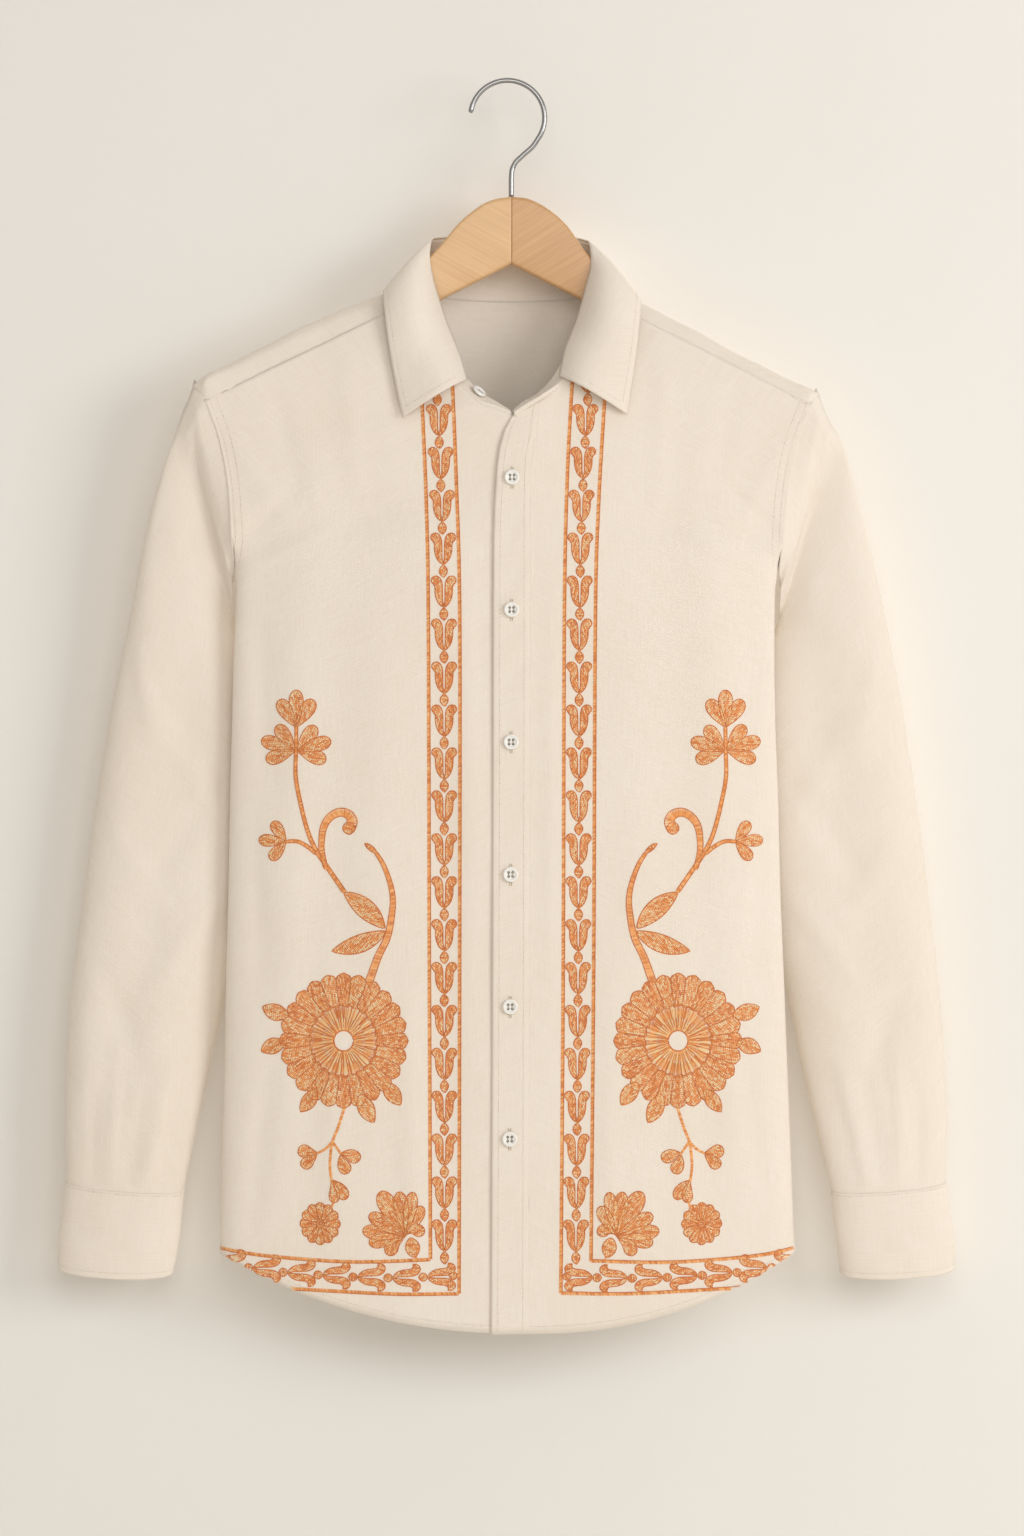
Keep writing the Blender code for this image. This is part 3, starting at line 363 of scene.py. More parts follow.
# Neck seam and top edge of the collar stand, from the right front end round the back to the left front
# end. Where the stand leans back at the front, it shows narrow.
NECK = [
    # base_x, base_y, base_z, top_x, top_y, top_z
    (3, -34, -251.6, 2.6, -31.5, -248.8),
    (-9, -34, -246.4, -9, -25.5, -241.2),
    (-18.5, -34, -243.6, -19.5, -21, -234.8),
    (-32, -30.5, -232.5, -30.2, -18.5, -223.5),
    (-49, -27.5, -214, -36.2, -17, -210),
    (-66, -23.5, -192, -46.5, -14.5, -184),
    (-80, -17.5, -171, -56, -11.5, -153),
    (-84.5, -12, -158, -60, -9.5, -134),
    (-85.5, -4, -152, -60.5, -4, -124.5),
    (-83, 5, -151, -59.5, 4, -120.5),
    (-68, 19, -154, -53, 15, -118.5),
    (-38, 29, -159, -32, 25, -117.5),
    (2, 32, -160.5, 2, 28, -117),
    (42, 29, -159.5, 36, 25, -117.5),
    (72, 19, -156, 57, 15, -119.5),
    (87, 5, -153, 64, 4, -123),
    (89.5, -4, -154, 65, -4, -127.5),
    (88.5, -12, -160, 64.5, -9.5, -138),
    (84, -17.5, -172.5, 60.5, -11.5, -154),
    (71, -23.5, -192, 53, -14.5, -181),
    (55, -28.5, -214, 41.3, -17.5, -210.4),
    (38.5, -32, -229.6, 32.5, -20, -225),
    (25.5, -36.2, -238.6, 21, -24.5, -236.4),
    (14, -36.2, -245.4, 11.6, -29, -242),
    (4.8, -36.2, -251.4, 3.6, -33.5, -249.2),
]
# Rows of that table where each front ends, from the shoulder seam down, and where the yoke does
FRONT_NECK_ROWS = {RIGHT: (6, 5, 4, 3, 2, 1), LEFT: (18, 19, 20, 21)}
YOKE_NECK_ROWS = {RIGHT: (6, 7, 8, 9, 10, 11, 12), LEFT: (18, 17, 16, 15, 14, 13)}
STAND_FOOT = 1.4

# Armhole seams, from the shoulder tip to the underarm
ARMHOLE_FRONT = [
    # right_x, right_z, left_x, left_z, y
    (-235, -228.5, 232.8, -235, -20),
    (-224.6, -242.6, 225.4, -245.6, -28.5),
    (-220.6, -253.5, 220.6, -258.5, -28.5),
    (-216.7, -264, 216, -271, -28.2),
    (-212.8, -279, 212.4, -285, -27.8),
    (-209.8, -295, 209.6, -301, -27.2),
    (-207.8, -311, 207.6, -317, -26.6),
    (-206.7, -328, 206.6, -333, -25.6),
    (-205.9, -345, 205.4, -350, -23.5),
    (-204.4, -367, 202.9, -370, -14),
]
ARMHOLE_BACK = [
    # right_x, right_z, left_x, left_z, y
    (-235, -228.5, 232.8, -235, -20),
    (-227, -241, 226, -247, -11),
    (-217, -258, 217, -262, -4),
    (-209, -275, 209, -277, 0),
    (-205, -292, 205, -292, 1.5),
    (-203, -310, 203, -310, 0.5),
    (-202.3, -328, 202.3, -328, -1.5),
    (-202.8, -346, 202, -346, -5),
    (-204.4, -367, 202.9, -370, -14),
]
SHOULDER_SEAM_ROW = 1
BACK_SEAM_ROW = 4

# The body below the underarm, from there to the hem
BODY = [
    # centre_z, side_z, right_x, left_x, seam_y, edge_y, middle_y, centre_y, back_y
    (-338, -367, -204.4, 202.9, -14, -22, -32.5, -33.6, 29),
    (-378, -386, -203.6, 201, -14, -22, -32.5, -33.3, 30),
    (-425, -428, -205.6, 200.6, -14, -22, -32, -33, 31),
    (-480, -480, -207, 201.4, -13, -21.5, -31.5, -32.5, 31),
    (-540, -540, -208.6, 203.6, -12, -21, -31, -32, 31),
    (-605, -605, -209.8, 205.2, -11, -20.5, -30.5, -31.5, 30),
    (-670, -670, -211.6, 207.8, -10, -20, -30, -31, 29),
    (-735, -732, -212.6, 210.2, -9, -19.5, -29.5, -30.5, 28),
    (-797, -786, -214.2, 212.4, -8, -19, -29, -30, 27),
    (-862, -838, -215.6, 214.4, -7, -18.5, -28.5, -29.5, 26),
    (-940, -881, -216.4, 216, -7, -18, -28, -29, 25),
]
SIDE_ROUND = 22.0
BACK_ROUND = 10.0
BODY_WIDTH = 415.0
SEAM_LIP = 1.2
UNDERLAP_X = 13.5
UNDERLAP_TOP = [(UNDERLAP_X, -33.9, -262.0), (UNDERLAP_X, -33.8, -300.0)]
PLACKET_TOP_Z = (-262.0, -285.0, -310.0)
CHEST_BOW = 3.5
HEM_CURVE_TOP = -600.0
BACK_HEM_RISE = 10.0
BACK_DROP_TOP = -700.0
BACK_SEAM_Y = 28.4
BACK_EDGE_DEPTH = 7.0
BACK_FLAT = 12.0
BACK_RISE_WIDTH = 95.0
# Cuts close to the side seam, where the cloth turns, in distances from the seam
FRONT_SIDE_CUTS = (0.5, 1.2, 2.4, 4.0, 6.0, 8.5, 11.5, 15.0, 18.5)
BACK_SIDE_CUTS = (0.6, 1.5, 3.0, 5.0, 7.0, 9.5)
FRONT_ROWS, FRONT_COLUMNS = 190, 62
BACK_FOLDS = [
    # fold_x, half_width, depth
    (60, 16, 3),
    (-55, 16, 3),
]

# Edges of the placket, from the collar stand to the hem
PLACKET = [
    # left_edge_z, left_edge_x, right_edge_z, right_edge_x
    (-253.4, 3.6, -241, 24.6),
    (-263.6, -2.4, -258, 23.2),
    (-276, -6, -272, 20.3),
    (-290, -7.9, -287, 18.5),
    (-312, -9.4, -312, 17.7),
    (-340, -10.6, -340, 17.6),
    (-405, -10.9, -405, 17.6),
    (-470, -11, -470, 17.5),
    (-560, -11.2, -560, 17.3),
    (-650, -11.4, -650, 17.1),
    (-740, -11.7, -740, 16.9),
    (-830, -12.1, -830, 16.7),
    (-941.4, -12.5, -941, 16.6),
]

# Largest folds of the fronts: soft ridges of raised cloth from one end point to the other
BODY_FOLDS = [
    # start_x, start_z, end_x, end_z, half_width, rise
    (-150, -250, -172, -860, 20, 2.6),
    (-98, -330, -104, -900, 22, 1.8),
    (-190, -330, -186, -700, 12, -2),
    (146, -262, 176, -860, 21, 2.6),
    (92, -340, 98, -900, 22, 1.6),
    (188, -340, 190, -720, 12, -1.8),
    (-46, -420, -44, -930, 16, -1.5),
    (50, -420, 46, -930, 16, -1.3),
]

# Smaller folds of the fronts, from the shoulders, the armholes and the hem
FRONT_CREASES = [
    # start_x, start_z, end_x, end_z, half_width, rise
    (-206, -372, -120, -330, 7, 1.3),
    (-206, -352, -150, -300, 6, -1),
    (-214, -255, -160, -345, 9, 1.1),
    (-178, -225, -150, -330, 8, -1),
    (-122, -200, -112, -330, 9, 0.9),
    (-196, -420, -176, -640, 8, 1.3),
    (-134, -610, -128, -905, 11, 1.5),
    (-74, -640, -72, -925, 9, 1.2),
    (-172, -700, -196, -880, 9, -1.4),
    (-30, -330, -27, -700, 7, 0.8),
    (204, -376, 128, -336, 7, 1.3),
    (206, -345, 158, -300, 6, -1),
    (214, -262, 166, -350, 9, 1.1),
    (172, -228, 148, -330, 8, -0.9),
    (118, -205, 112, -330, 8, 0.9),
    (192, -430, 178, -650, 8, 1.2),
    (130, -600, 136, -905, 11, 1.4),
    (78, -660, 74, -925, 9, 1.1),
    (170, -690, 198, -880, 9, -1.3),
    (32, -340, 30, -720, 6, 0.7),
]

HEM_SIDE_EXPONENT = 2.2


def fold_rise(x, z, folds):
    """Height of the folds at x, z: each is a Gaussian ridge across its line, fading out at both ends."""
    rise = np.zeros_like(x)
    for start_x, start_z, end_x, end_z, half_width, height in folds:
        run = np.array([end_x - start_x, end_z - start_z])
        length = np.hypot(*run)
        along = ((x - start_x) * run[0] + (z - start_z) * run[1]) / length ** 2
        across = ((x - start_x) * run[1] - (z - start_z) * run[0]) / length
        fade = np.sin(np.pi * np.clip(along, 0, 1)) ** 0.6
        rise += height * fade * np.exp(-(across / half_width) ** 2)
    return rise


def armhole(table, side):
    """The x, y, z points of an armhole seam on one side."""
    rows = np.array(table)
    pair = rows[:, 0:2] if side == RIGHT else rows[:, 2:4]
    return np.stack([pair[:, 0], rows[:, 4], pair[:, 1]], axis=-1)


def hem_share(side_z):
    """How far a section at this side height follows the hem's curve, from 0 to 1."""
    return np.clip((HEM_CURVE_TOP - side_z) / (HEM_CURVE_TOP - BODY[-1][1]), 0.0, 1.0)


def front_sections(side):
    """Sections of one front, from the shoulder seam to the hem. A section is the inner point, the
    outer point, y just inside the outer edge, y in the middle, and the curve exponent of its line."""
    neck = np.array(NECK)
    seam = armhole(ARMHOLE_FRONT, side)[SHOULDER_SEAM_ROW:]
    placket_edge = smooth(PLACKET, 60)
    inner = list(neck[list(FRONT_NECK_ROWS[side]), 0:3])
    if side == RIGHT:
        inner += [np.array(point) for point in UNDERLAP_TOP]
    else:
        for z in (PLACKET[0][2], *PLACKET_TOP_Z):
            x = np.interp(-z, -placket_edge[:, 2], placket_edge[:, 3]) + SEAM_GAP
            inner.append(np.array([x, lap_y(z), z + NECK_DROP]))
    sections = []
    for row, point in enumerate(inner):
        outer = seam[row]
        middle_y = 0.45 * (point[1] + outer[1]) - CHEST_BOW
        sections.append([*(point - (0, 0, NECK_DROP)), *outer, outer[1], middle_y, 1.0])
    for centre_z, side_z, right_x, left_x, seam_y, edge_y, middle_y, centre_y, _ in BODY:
        exponent = 1.0 + (HEM_SIDE_EXPONENT - 1.0) * hem_share(side_z)
        if side == RIGHT:
            inner_x, outer_x, inner_y = UNDERLAP_X, right_x, centre_y
        else:
            inner_x = np.interp(-centre_z, -placket_edge[:, 2], placket_edge[:, 3]) + SEAM_GAP
            outer_x, inner_y = left_x, lap_y(centre_z)
        sections.append([inner_x, inner_y, centre_z, outer_x, seam_y - 0.5 * SEAM_GAP, side_z,
                         edge_y, middle_y, exponent])
    return np.array(sections)


def front_grid(side, rows, columns):
    """Outer face of a front: each section runs from its inner to its outer point as a shallow bow in
    y, and turns back over SIDE_ROUND to the side seam in a quarter ellipse."""
    section = smooth(front_sections(side), rows)[:, None, :]
    inner, outer = section[..., 0:3], section[..., 3:6]
    edge_y, middle_y, exponent = section[..., 6], section[..., 7], section[..., 8]
    width = np.abs(outer[..., 0] - inner[..., 0])
    depth = outer[..., 1] - edge_y
    lip = np.minimum(SEAM_LIP, 0.5 * depth)
    near_side = np.array([*FRONT_SIDE_CUTS, SIDE_ROUND])
    share = np.linspace(0.0, 1.0, columns - len(near_side) - 1)[None, :-1]
    inner_part = share * (width - SIDE_ROUND) / width
    outer_part = 1.0 - near_side[None, ::-1] / width
    last = 1.0 - (SEAM_LIP - lip) / width
    w = np.concatenate([inner_part, outer_part, last, np.ones_like(width)], axis=1)
    x = inner[..., 0] + (outer[..., 0] - inner[..., 0]) * w
    z = inner[..., 2] + (outer[..., 2] - inner[..., 2]) * w ** exponent
    bow = middle_y - 0.5 * (inner[..., 1] + edge_y)
    y = inner[..., 1] * (1 - w) + edge_y * w + bow * 4 * w * (1 - w)
    turn = np.clip(1 - (1 - w) * width / SIDE_ROUND, 0, 1)
    y = y + (depth - lip) * (1 - np.sqrt(1 - turn ** 2))
    y[:, -1:] += lip
    y = y - fold_rise(x, z, BODY_FOLDS) * (1 - turn) * np.clip(w * 8 - 1, 0, 1)
    return np.stack([x, y, z], axis=-1)


def lap_y(z):
    """Outer face of the placket at height z: one cloth wall clear of the foremost point of the right
    front that lies under it."""
    under = front_grid(RIGHT, 90, 40)[:, :8]
    foremost = under[..., 1].min(axis=1)
    level = under[..., 2].mean(axis=1)
    return np.interp(-z, -level, foremost) - CLOTH - LAP_GAP


def seam_pucker(grid, normal, edge, depth, pitch, reach, seed):
    """Small gathers along a sewn edge: a wavering sine along it, fading with the distance from it."""
    run = arc_length(grid, 1 if edge in ("top", "bottom") else 0)
    away = arc_length(grid, 0 if edge in ("top", "bottom") else 1)
    if edge in ("bottom", "end"):
        away = (away[-1:] if edge == "bottom" else away[:, -1:]) - away
    waver = soft_noise(run, away * 0.2, seed, 8, 30.0)
    wave = np.sin(run * 2 * math.pi / pitch + 2.2 * waver) * (0.6 + 0.4 * waver)
    fade = np.exp(-away / reach) * np.clip(away / 1.5, 0.15, 1)
    return grid + normal * (depth * wave * fade)[..., None]


def turned_edge(grid, normal, distance, width, lift):
    """A turned hem: the cloth stands `lift` proud within `width` of its edge, with a rounded step."""
    step = np.clip((width - distance) / 1.4 + 0.5, 0, 1)
    return grid + normal * (lift * step * step * (3 - 2 * step))[..., None]


def above_underarm(z):
    """0 along the side seam, 1 along the armhole, and an even change over 15 mm between them."""
    return np.clip((z + 352.0) / 15.0, 0, 1)


def dressed_front(side):
    """The front's own surface, with creases, uneven ground, puckers along its seams and a turned hem. Its
    edge laps over the sleeve round the armhole, and the left front runs on under the band."""
    grid = front_grid(side, FRONT_ROWS, FRONT_COLUMNS)
    normal = grid_normals(grid, False, side == LEFT)
    across = arc_length(grid, 1)
    edge_fade = np.clip(across / 14.0, 0, 1) * np.clip((across[:, -1:] - across) / 10.0, 0, 1)
    rise = fold_rise(grid[..., 0], grid[..., 2], FRONT_CREASES)
    rise = rise + 0.3 * soft_noise(grid[..., 0], 0.4 * grid[..., 2], 11 + side, 12, 58.0)
    grid = grid + normal * (rise * edge_fade)[..., None]
    grid = seam_pucker(grid, normal, "top", 0.45, 11.0, 9.0, 21 + side)
    grid = seam_pucker(grid, normal, "bottom", 0.4, 13.0, 8.0, 31 + side)
    down = arc_length(grid, 0)
    grid = turned_edge(grid, normal, down[-1:] - down, HEM_TURN, HEM_LIFT)
    grid[:, -2] = 0.5 * (grid[:, -3] + grid[:, -1])
    grid = carried_on(grid, "top", 2.5, 0.5, normal)
    normal = np.concatenate([normal[:1], normal])
    above = above_underarm(grid[:, -1:, 2:])
    over_sleeve = grid[:, -1:] + (side * 1.6, -0.25, 0.0)
    grid = carried_on(grid, "end", 2.0, 0.3, normal)
    grid[:, -1:] = grid[:, -1:] * (1 - above) + over_sleeve * above
    return grid if side == RIGHT else carried_on(grid, "start", 3.0, 0.4, normal)


panel("shirt_front_right", "front_right", dressed_front(RIGHT))
panel("shirt_front_left", "front_left", dressed_front(LEFT), flip=True)

# The button band: two layers of the same cloth folded to a strip and topstitched down both edges of the left
# front, lapped over the right front.
PLACKET_COLUMNS = 17


def placket_grid(columns):
    """Outer face of the button band: its right edge follows the left front's inner edge row by row, and
    its other edge comes from the table."""
    edge = front_grid(LEFT, FRONT_ROWS, FRONT_COLUMNS)[:, 0]
    edge = edge[edge[:, 2] < PLACKET[0][2] + 0.1]
    table = np.array(PLACKET)
    far_z = np.interp(-edge[:, 2], -table[:, 2], table[:, 0])
    far_x = np.interp(-edge[:, 2], -table[:, 2], table[:, 1])
    far_edge = np.stack([far_x, np.minimum(edge[:, 1], lap_y(far_z)), far_z], axis=-1)
    near_edge = edge - (SEAM_GAP, 0.0, 0.0)
    across = np.linspace(0, 1, columns)[None, :, None]
    return far_edge[:, None] * (1 - across) + near_edge[:, None] * across


def dressed_placket():
    """The band's surface, a little fuller between its two lines of stitching; its outer edge laps over
    the left front."""
    grid = placket_grid(PLACKET_COLUMNS)
    across = np.linspace(0, 1, PLACKET_COLUMNS)[None, :]
    swell = np.clip(np.minimum(across, 1 - across) * 8, 0, 1) * 0.35
    ground = 0.25 * soft_noise(grid[..., 0], grid[..., 2], 5, 10, 30.0) * np.clip(across * 6, 0, 1)
    grid[..., 1] -= swell + ground
    return carried_on(grid, "end", 0.8, -0.35, grid_normals(grid, False, True))


panel("shirt_placket", "placket", dressed_placket(), flip=True, wall=1.0)

# The back: one layer from the yoke seam to the hem. It is hidden in the photograph, so it is finished as
# such backs are, with a soft fold down from each shoulder blade and the same turned hem.
BACK_ROWS, BACK_COLUMNS = 150, 97
BACK_CREASES = [
    # start_x, start_z, end_x, end_z, half_width, rise
    (-120, -300, -96, -640, 13, 2),
    (-60, -330, -56, -900, 12, -1.6),
    (4, -310, 8, -760, 15, 1.8),
    (66, -330, 60, -900, 12, -1.6),
    (124, -300, 104, -660, 13, 2),
    (-150, -560, -140, -900, 11, 1.4),
    (150, -540, 142, -900, 11, 1.4),
    (-30, -640, -26, -930, 12, 1.3),
    (34, -620, 36, -930, 12, 1.2),
]


def back_sections():
    """Sections of the back, from the yoke seam to the hem: right point, left point, y in the middle,
    y just inside the edges, drop of the line's middle, and its curve exponent."""
    right, left = armhole(ARMHOLE_BACK, RIGHT), armhole(ARMHOLE_BACK, LEFT)
    sections = []
    for row in range(BACK_SEAM_ROW, len(right) - 1):
        edge_y = right[row, 1]
        sections.append([*right[row], *left[row], BACK_SEAM_Y, edge_y, 0.0, 2.0])
    for centre_z, side_z, right_x, left_x, seam_y, edge_y, middle_y, centre_y, back_y in BODY:
        share = hem_share(side_z)
        drop = max(side_z - centre_z - BACK_HEM_RISE * share, 0.0) if side_z < BACK_DROP_TOP else 0.0
        back_seam_y = seam_y + 0.5 * SEAM_GAP
        sections.append([right_x, back_seam_y, side_z, left_x, back_seam_y, side_z, back_y,
                         seam_y + BACK_EDGE_DEPTH, drop, 1.0 + (HEM_SIDE_EXPONENT - 1.0) * share])
    return np.array(sections)


def back_grid(rows, columns):
    """Outer face of the back: each section leaves the side seam in a quarter ellipse, stays flat where
    the sleeve hangs behind it, and rises over the middle as a soft step."""
    section = smooth(back_sections(), rows)[:, None, :]
    right, left = section[..., 0:3], section[..., 3:6]
    middle_y, edge_y, drop, exponent = (section[..., k] for k in range(6, 10))
    width = left[..., 0] - right[..., 0]
    depth = edge_y - right[..., 1]
    lip = np.minimum(SEAM_LIP, 0.5 * depth)
    near_side = np.array([*BACK_SIDE_CUTS, BACK_FLAT])
    inside = np.linspace(SIDE_ROUND, 0.5 * BODY_WIDTH, (columns - 1) // 2 - len(near_side) - 1)
    inset = np.concatenate([near_side, inside])[None, :] * width / BODY_WIDTH
    inset = np.concatenate([np.zeros_like(width), SEAM_LIP - lip, inset], axis=1)
    inset = np.concatenate([inset, (width - inset)[:, -2::-1]], axis=1)
    w = inset / width
    from_side = np.minimum(inset, width - inset)
    x = right[..., 0] + width * w
    z = right[..., 2] * (1 - w) + left[..., 2] * w - drop * (1 - np.abs(2 * w - 1) ** exponent)
    rise = np.clip((from_side - BACK_FLAT) / BACK_RISE_WIDTH, 0, 1)
    rise = rise * rise * (3 - 2 * rise)
    turn = np.clip(1 - from_side / BACK_ROUND, 0, 1)
    y = edge_y + (middle_y - edge_y) * rise - (depth - lip) * (1 - np.sqrt(1 - turn ** 2))
    y[:, [0, -1]] -= lip
    for fold_x, half_width, depth in BACK_FOLDS:
        y = y + depth * np.exp(-((x - fold_x) / half_width) ** 2) * np.clip((-z - 320.0) / 200.0, 0, 1)
    return np.stack([x, y, z], axis=-1)


def dressed_back():
    """The back's surface with its creases, uneven ground, puckered seams and turned hem; it runs on into
    the armhole seams."""
    grid = back_grid(BACK_ROWS, BACK_COLUMNS)
    normal = grid_normals(grid, False, False)
    across = arc_length(grid, 1)
    edge_fade = np.clip(np.minimum(across, across[:, -1:] - across) / 40.0 - 0.3, 0, 1)
    rise = fold_rise(grid[..., 0], grid[..., 2], BACK_CREASES)
    rise = rise + 0.5 * soft_noise(grid[..., 0], 0.45 * grid[..., 2], 17, 12, 48.0)
    grid = grid + normal * (rise * edge_fade)[..., None]
    grid = seam_pucker(grid, normal, "top", 0.4, 12.0, 8.0, 41)
    down = arc_length(grid, 0)
    grid = turned_edge(grid, normal, down[-1:] - down, HEM_TURN, HEM_LIFT)
    length = 0.3 + 2.2 * above_underarm(grid[:, :1, 2])
    grid = carried_on(grid, "start", length, 0.2, normal)
    return carried_on(grid, "end", length, 0.2, normal)


panel("shirt_back", "back", dressed_back())

# The yoke: one doubled layer of the same cloth over both shoulders, cut in one piece and edge-stitched over
# the tops of the fronts and the back.
YOKE_ROWS, YOKE_COLUMNS = 46, 150
NECK_GAP = 0.8
# The top of each shoulder from tip to neck, with where its column meets the front and back seams
RIGHT_RIDGE = [
    # x, y, z, front_x, back_x
    (-235, -20, -228.5, -224.6, -205),
    (-226.9, -19, -221.6, -217, -198),
    (-207.4, -16.5, -212.3, -201, -184),
    (-180.4, -13, -197.8, -178, -163),
    (-139.9, -8.5, -178.2, -139, -130),
    (-113.6, -6, -167.2, -112, -108),
    (-97, -4.6, -160.8, -92, -92),
]
LEFT_RIDGE = [
    # x, y, z, front_x, back_x
    (232.8, -20, -235, 225.4, 205),
    (226.1, -19, -231, 217, 198),
    (205, -16.3, -221.6, 201, 184),
    (178, -13, -207.4, 178, 163),
    (139.9, -8.5, -186.8, 139, 130),
    (117, -6.2, -174.6, 113, 108),
    (101, -4.9, -166.2, 96, 92),
]
SHOULDER_FALL = (7.8, 5.5)
# Where the yoke's columns run from the neck seam beside the shoulder, as steps from the seam
NECK_FAN = [
    # front_fall_x, _y, _z, top_x, _y, _z, back_fall_x, _y, _z, middle_x, _y, _z
    (8, 6, 10.5, 10.5, 13.5, 14, 11, 22, 11, 6, 39.5, -44),
    (3.5, 6, 2.8, 4.3, 13, 3.4, 3.5, 20, -2, -2.5, 35, -57),
    (1.3, 5, -0.8, 0.8, 10, -3, -1.5, 16, -12, -9.5, 28.5, -63),
    (0, 4, -2.5, -2, 8.5, -8.5, -6, 13, -21, -16, 21, -69),
]


def yoke_columns(side):
    """Six control points of each column of the yoke, from a shoulder tip to the neck: front seam or
    neck seam, front fall, ridge, back fall, middle of the back, back seam."""
    front_top = front_sections(side)[0]
    seam_start, seam_end = front_top[3:6], front_top[0:3]
    back_top = back_grid(BACK_ROWS, BACK_COLUMNS)[0]
    front_hole, back_hole = armhole(ARMHOLE_FRONT, side), armhole(ARMHOLE_BACK, side)
    forward, down = SHOULDER_FALL
    columns = []
    for x, y, z, front_x, back_x in RIGHT_RIDGE if side == RIGHT else LEFT_RIDGE:
        share = (seam_start[0] - front_x) / (seam_start[0] - seam_end[0])
        front = seam_start + (seam_end - seam_start) * share + (0, 0, SHOULDER_GAP)
        end = yoke_back_point(back_top, back_x)
        behind = np.array((x, y + forward, z - down))
        column = [front, np.array((x, y - forward, z - down)), np.array((x, y, z)), behind,
                  0.5 * (behind + end) + (0.0, 4.0, 0.0), end]
        if not columns:
            column[1] = 0.5 * (front_hole[0] + front_hole[1]) + (0.0, -1.0, 0.8)
            column[3:5] = back_hole[1], 0.5 * (back_hole[2] + back_hole[3]) - (side * 1.0, 0.0, 0.0)
        columns.append(column)
    for row, back_x in zip(YOKE_NECK_ROWS[side], side * np.linspace(80.0, 0.0, 7)):
        start = np.array(NECK[row][0:3]) + (side * 0.8, 0.0, -NECK_GAP)
        end = yoke_back_point(back_top, back_x)
        if len(columns) < len(RIGHT_RIDGE) + len(NECK_FAN):
            fan = np.array(NECK_FAN[len(columns) - len(RIGHT_RIDGE)]).reshape(4, 3) * (side, 1, 1)
            columns.append([start, *(start + fan), end])
        else:
            columns.append([start + (end - start) * share + (0.0, 8.0 * share * (1 - share), 0.0)
                            for share in (0.0, 0.07, 0.18, 0.36, 0.66, 1.0)])
    return columns


def yoke_back_point(back_top, x):
    """Point of the yoke's back seam at x, just above the back's first row."""
    y = np.interp(x, back_top[:, 0], back_top[:, 1])
    z = np.interp(x, back_top[:, 0], back_top[:, 2])
    return np.array([x, y, z + SEAM_GAP])


def yoke_grid(columns):
    """Outer face of the yoke: a curve through each column's six points, smoothed along the yoke."""
    control = yoke_columns(RIGHT) + yoke_columns(LEFT)[::-1]
    across = smooth(np.array(control), columns)
    return np.stack([smooth(column, YOKE_ROWS) for column in across])


def dressed_yoke():
    """The yoke's surface with light puckers along its two long seams."""
    grid = yoke_grid(YOKE_COLUMNS)
    normal = grid_normals(grid, False, True)
    down = arc_length(grid, 1)
    ground = 0.3 * soft_noise(grid[..., 0], grid[..., 2], 19, 12, 40.0)
    fade = np.clip(np.minimum(down, down[:, -1:] - down) / 12.0, 0, 1)
    grid = grid + normal * (ground * fade)[..., None]
    grid = seam_pucker(grid, normal, "start", 0.35, 9.0, 6.0, 51)
    grid = seam_pucker(grid, normal, "end", 0.35, 10.0, 7.0, 52)
    grid = carried_on(grid, "top", 1.6, 0.3, normal)
    normal = np.concatenate([normal[:1], normal])
    return carried_on(grid, "bottom", 1.6, 0.3, normal)


panel("shirt_yoke", "yoke", dressed_yoke(), flip=True)

# The sleeves: a tube each, sewn round the armhole, with the strip beside the seam level with the front, a
# fold behind it and long soft folds down to the cuff, where two small pleats take up the width.
# Rings of both sleeves below the armhole; the inner side hangs behind the body's side edge
SLEEVE = [
    # outer_z, right_outer_x, left_outer_x, inner_z, right_inner_x, left_inner_x,
    # outer_y, inner_y, half_front, half_back
    (-270, -250.9, 250.6, -404.7, -206, 204.6, -16, 7.7, 6.3, 12),
    (-317, -266.6, 264.6, -416.7, -201, 199, -10, 14, 12, 18),
    (-357.5, -276, 275, -430, -192, 190, -5, 18, 15, 18),
    (-399.5, -283.9, 284.5, -455, -183, 181, 0, 20, 18, 18),
    (-442, -293.3, 293.5, -485, -176, 174, 4, 21, 19, 19),
    (-490, -302.2, 301.5, -518, -174, 172, 7, 21, 20, 20),
    (-551.6, -312.4, 311, -565, -180, 178, 9, 20, 21, 21),
    (-615, -321, 319, -622, -192, 191, 10, 18, 21, 21),
    (-690, -330.4, 327.5, -684, -211.9, 211, 10, 16, 21, 21),
    (-732, -333, 330.6, -738, -224.1, 222, 9, 13, 20, 20),
    (-779.6, -333.9, 332.2, -791, -235.5, 233.8, 8, 10, 18.5, 18.5),
    (-827, -333.6, 330.6, -834, -244.4, 244.4, 7, 8, 16, 16),
]
# The sleeve's second and third rings: how far they lie from the armhole seam at its top and at the
# underarm, how far out in front and behind, and how far they fall back there
SLEEVE_HEAD = [
    # top_x, top_y, top_z, underarm_x, underarm_y, underarm_z, front_out, back_out, front_depth, back_depth
    (2.5, 0, -8, 0.7, 6.2, -8.3, 9.5, 7.6, 0, 0),
    (8, 1, -21, 1.3, 6.3, -12.4, 12.8, 11.5, 7.3, 6),
]
RING_BOW = 4.0
FOLD_COUNT = 5
FOLD_DEPTH = 1.6


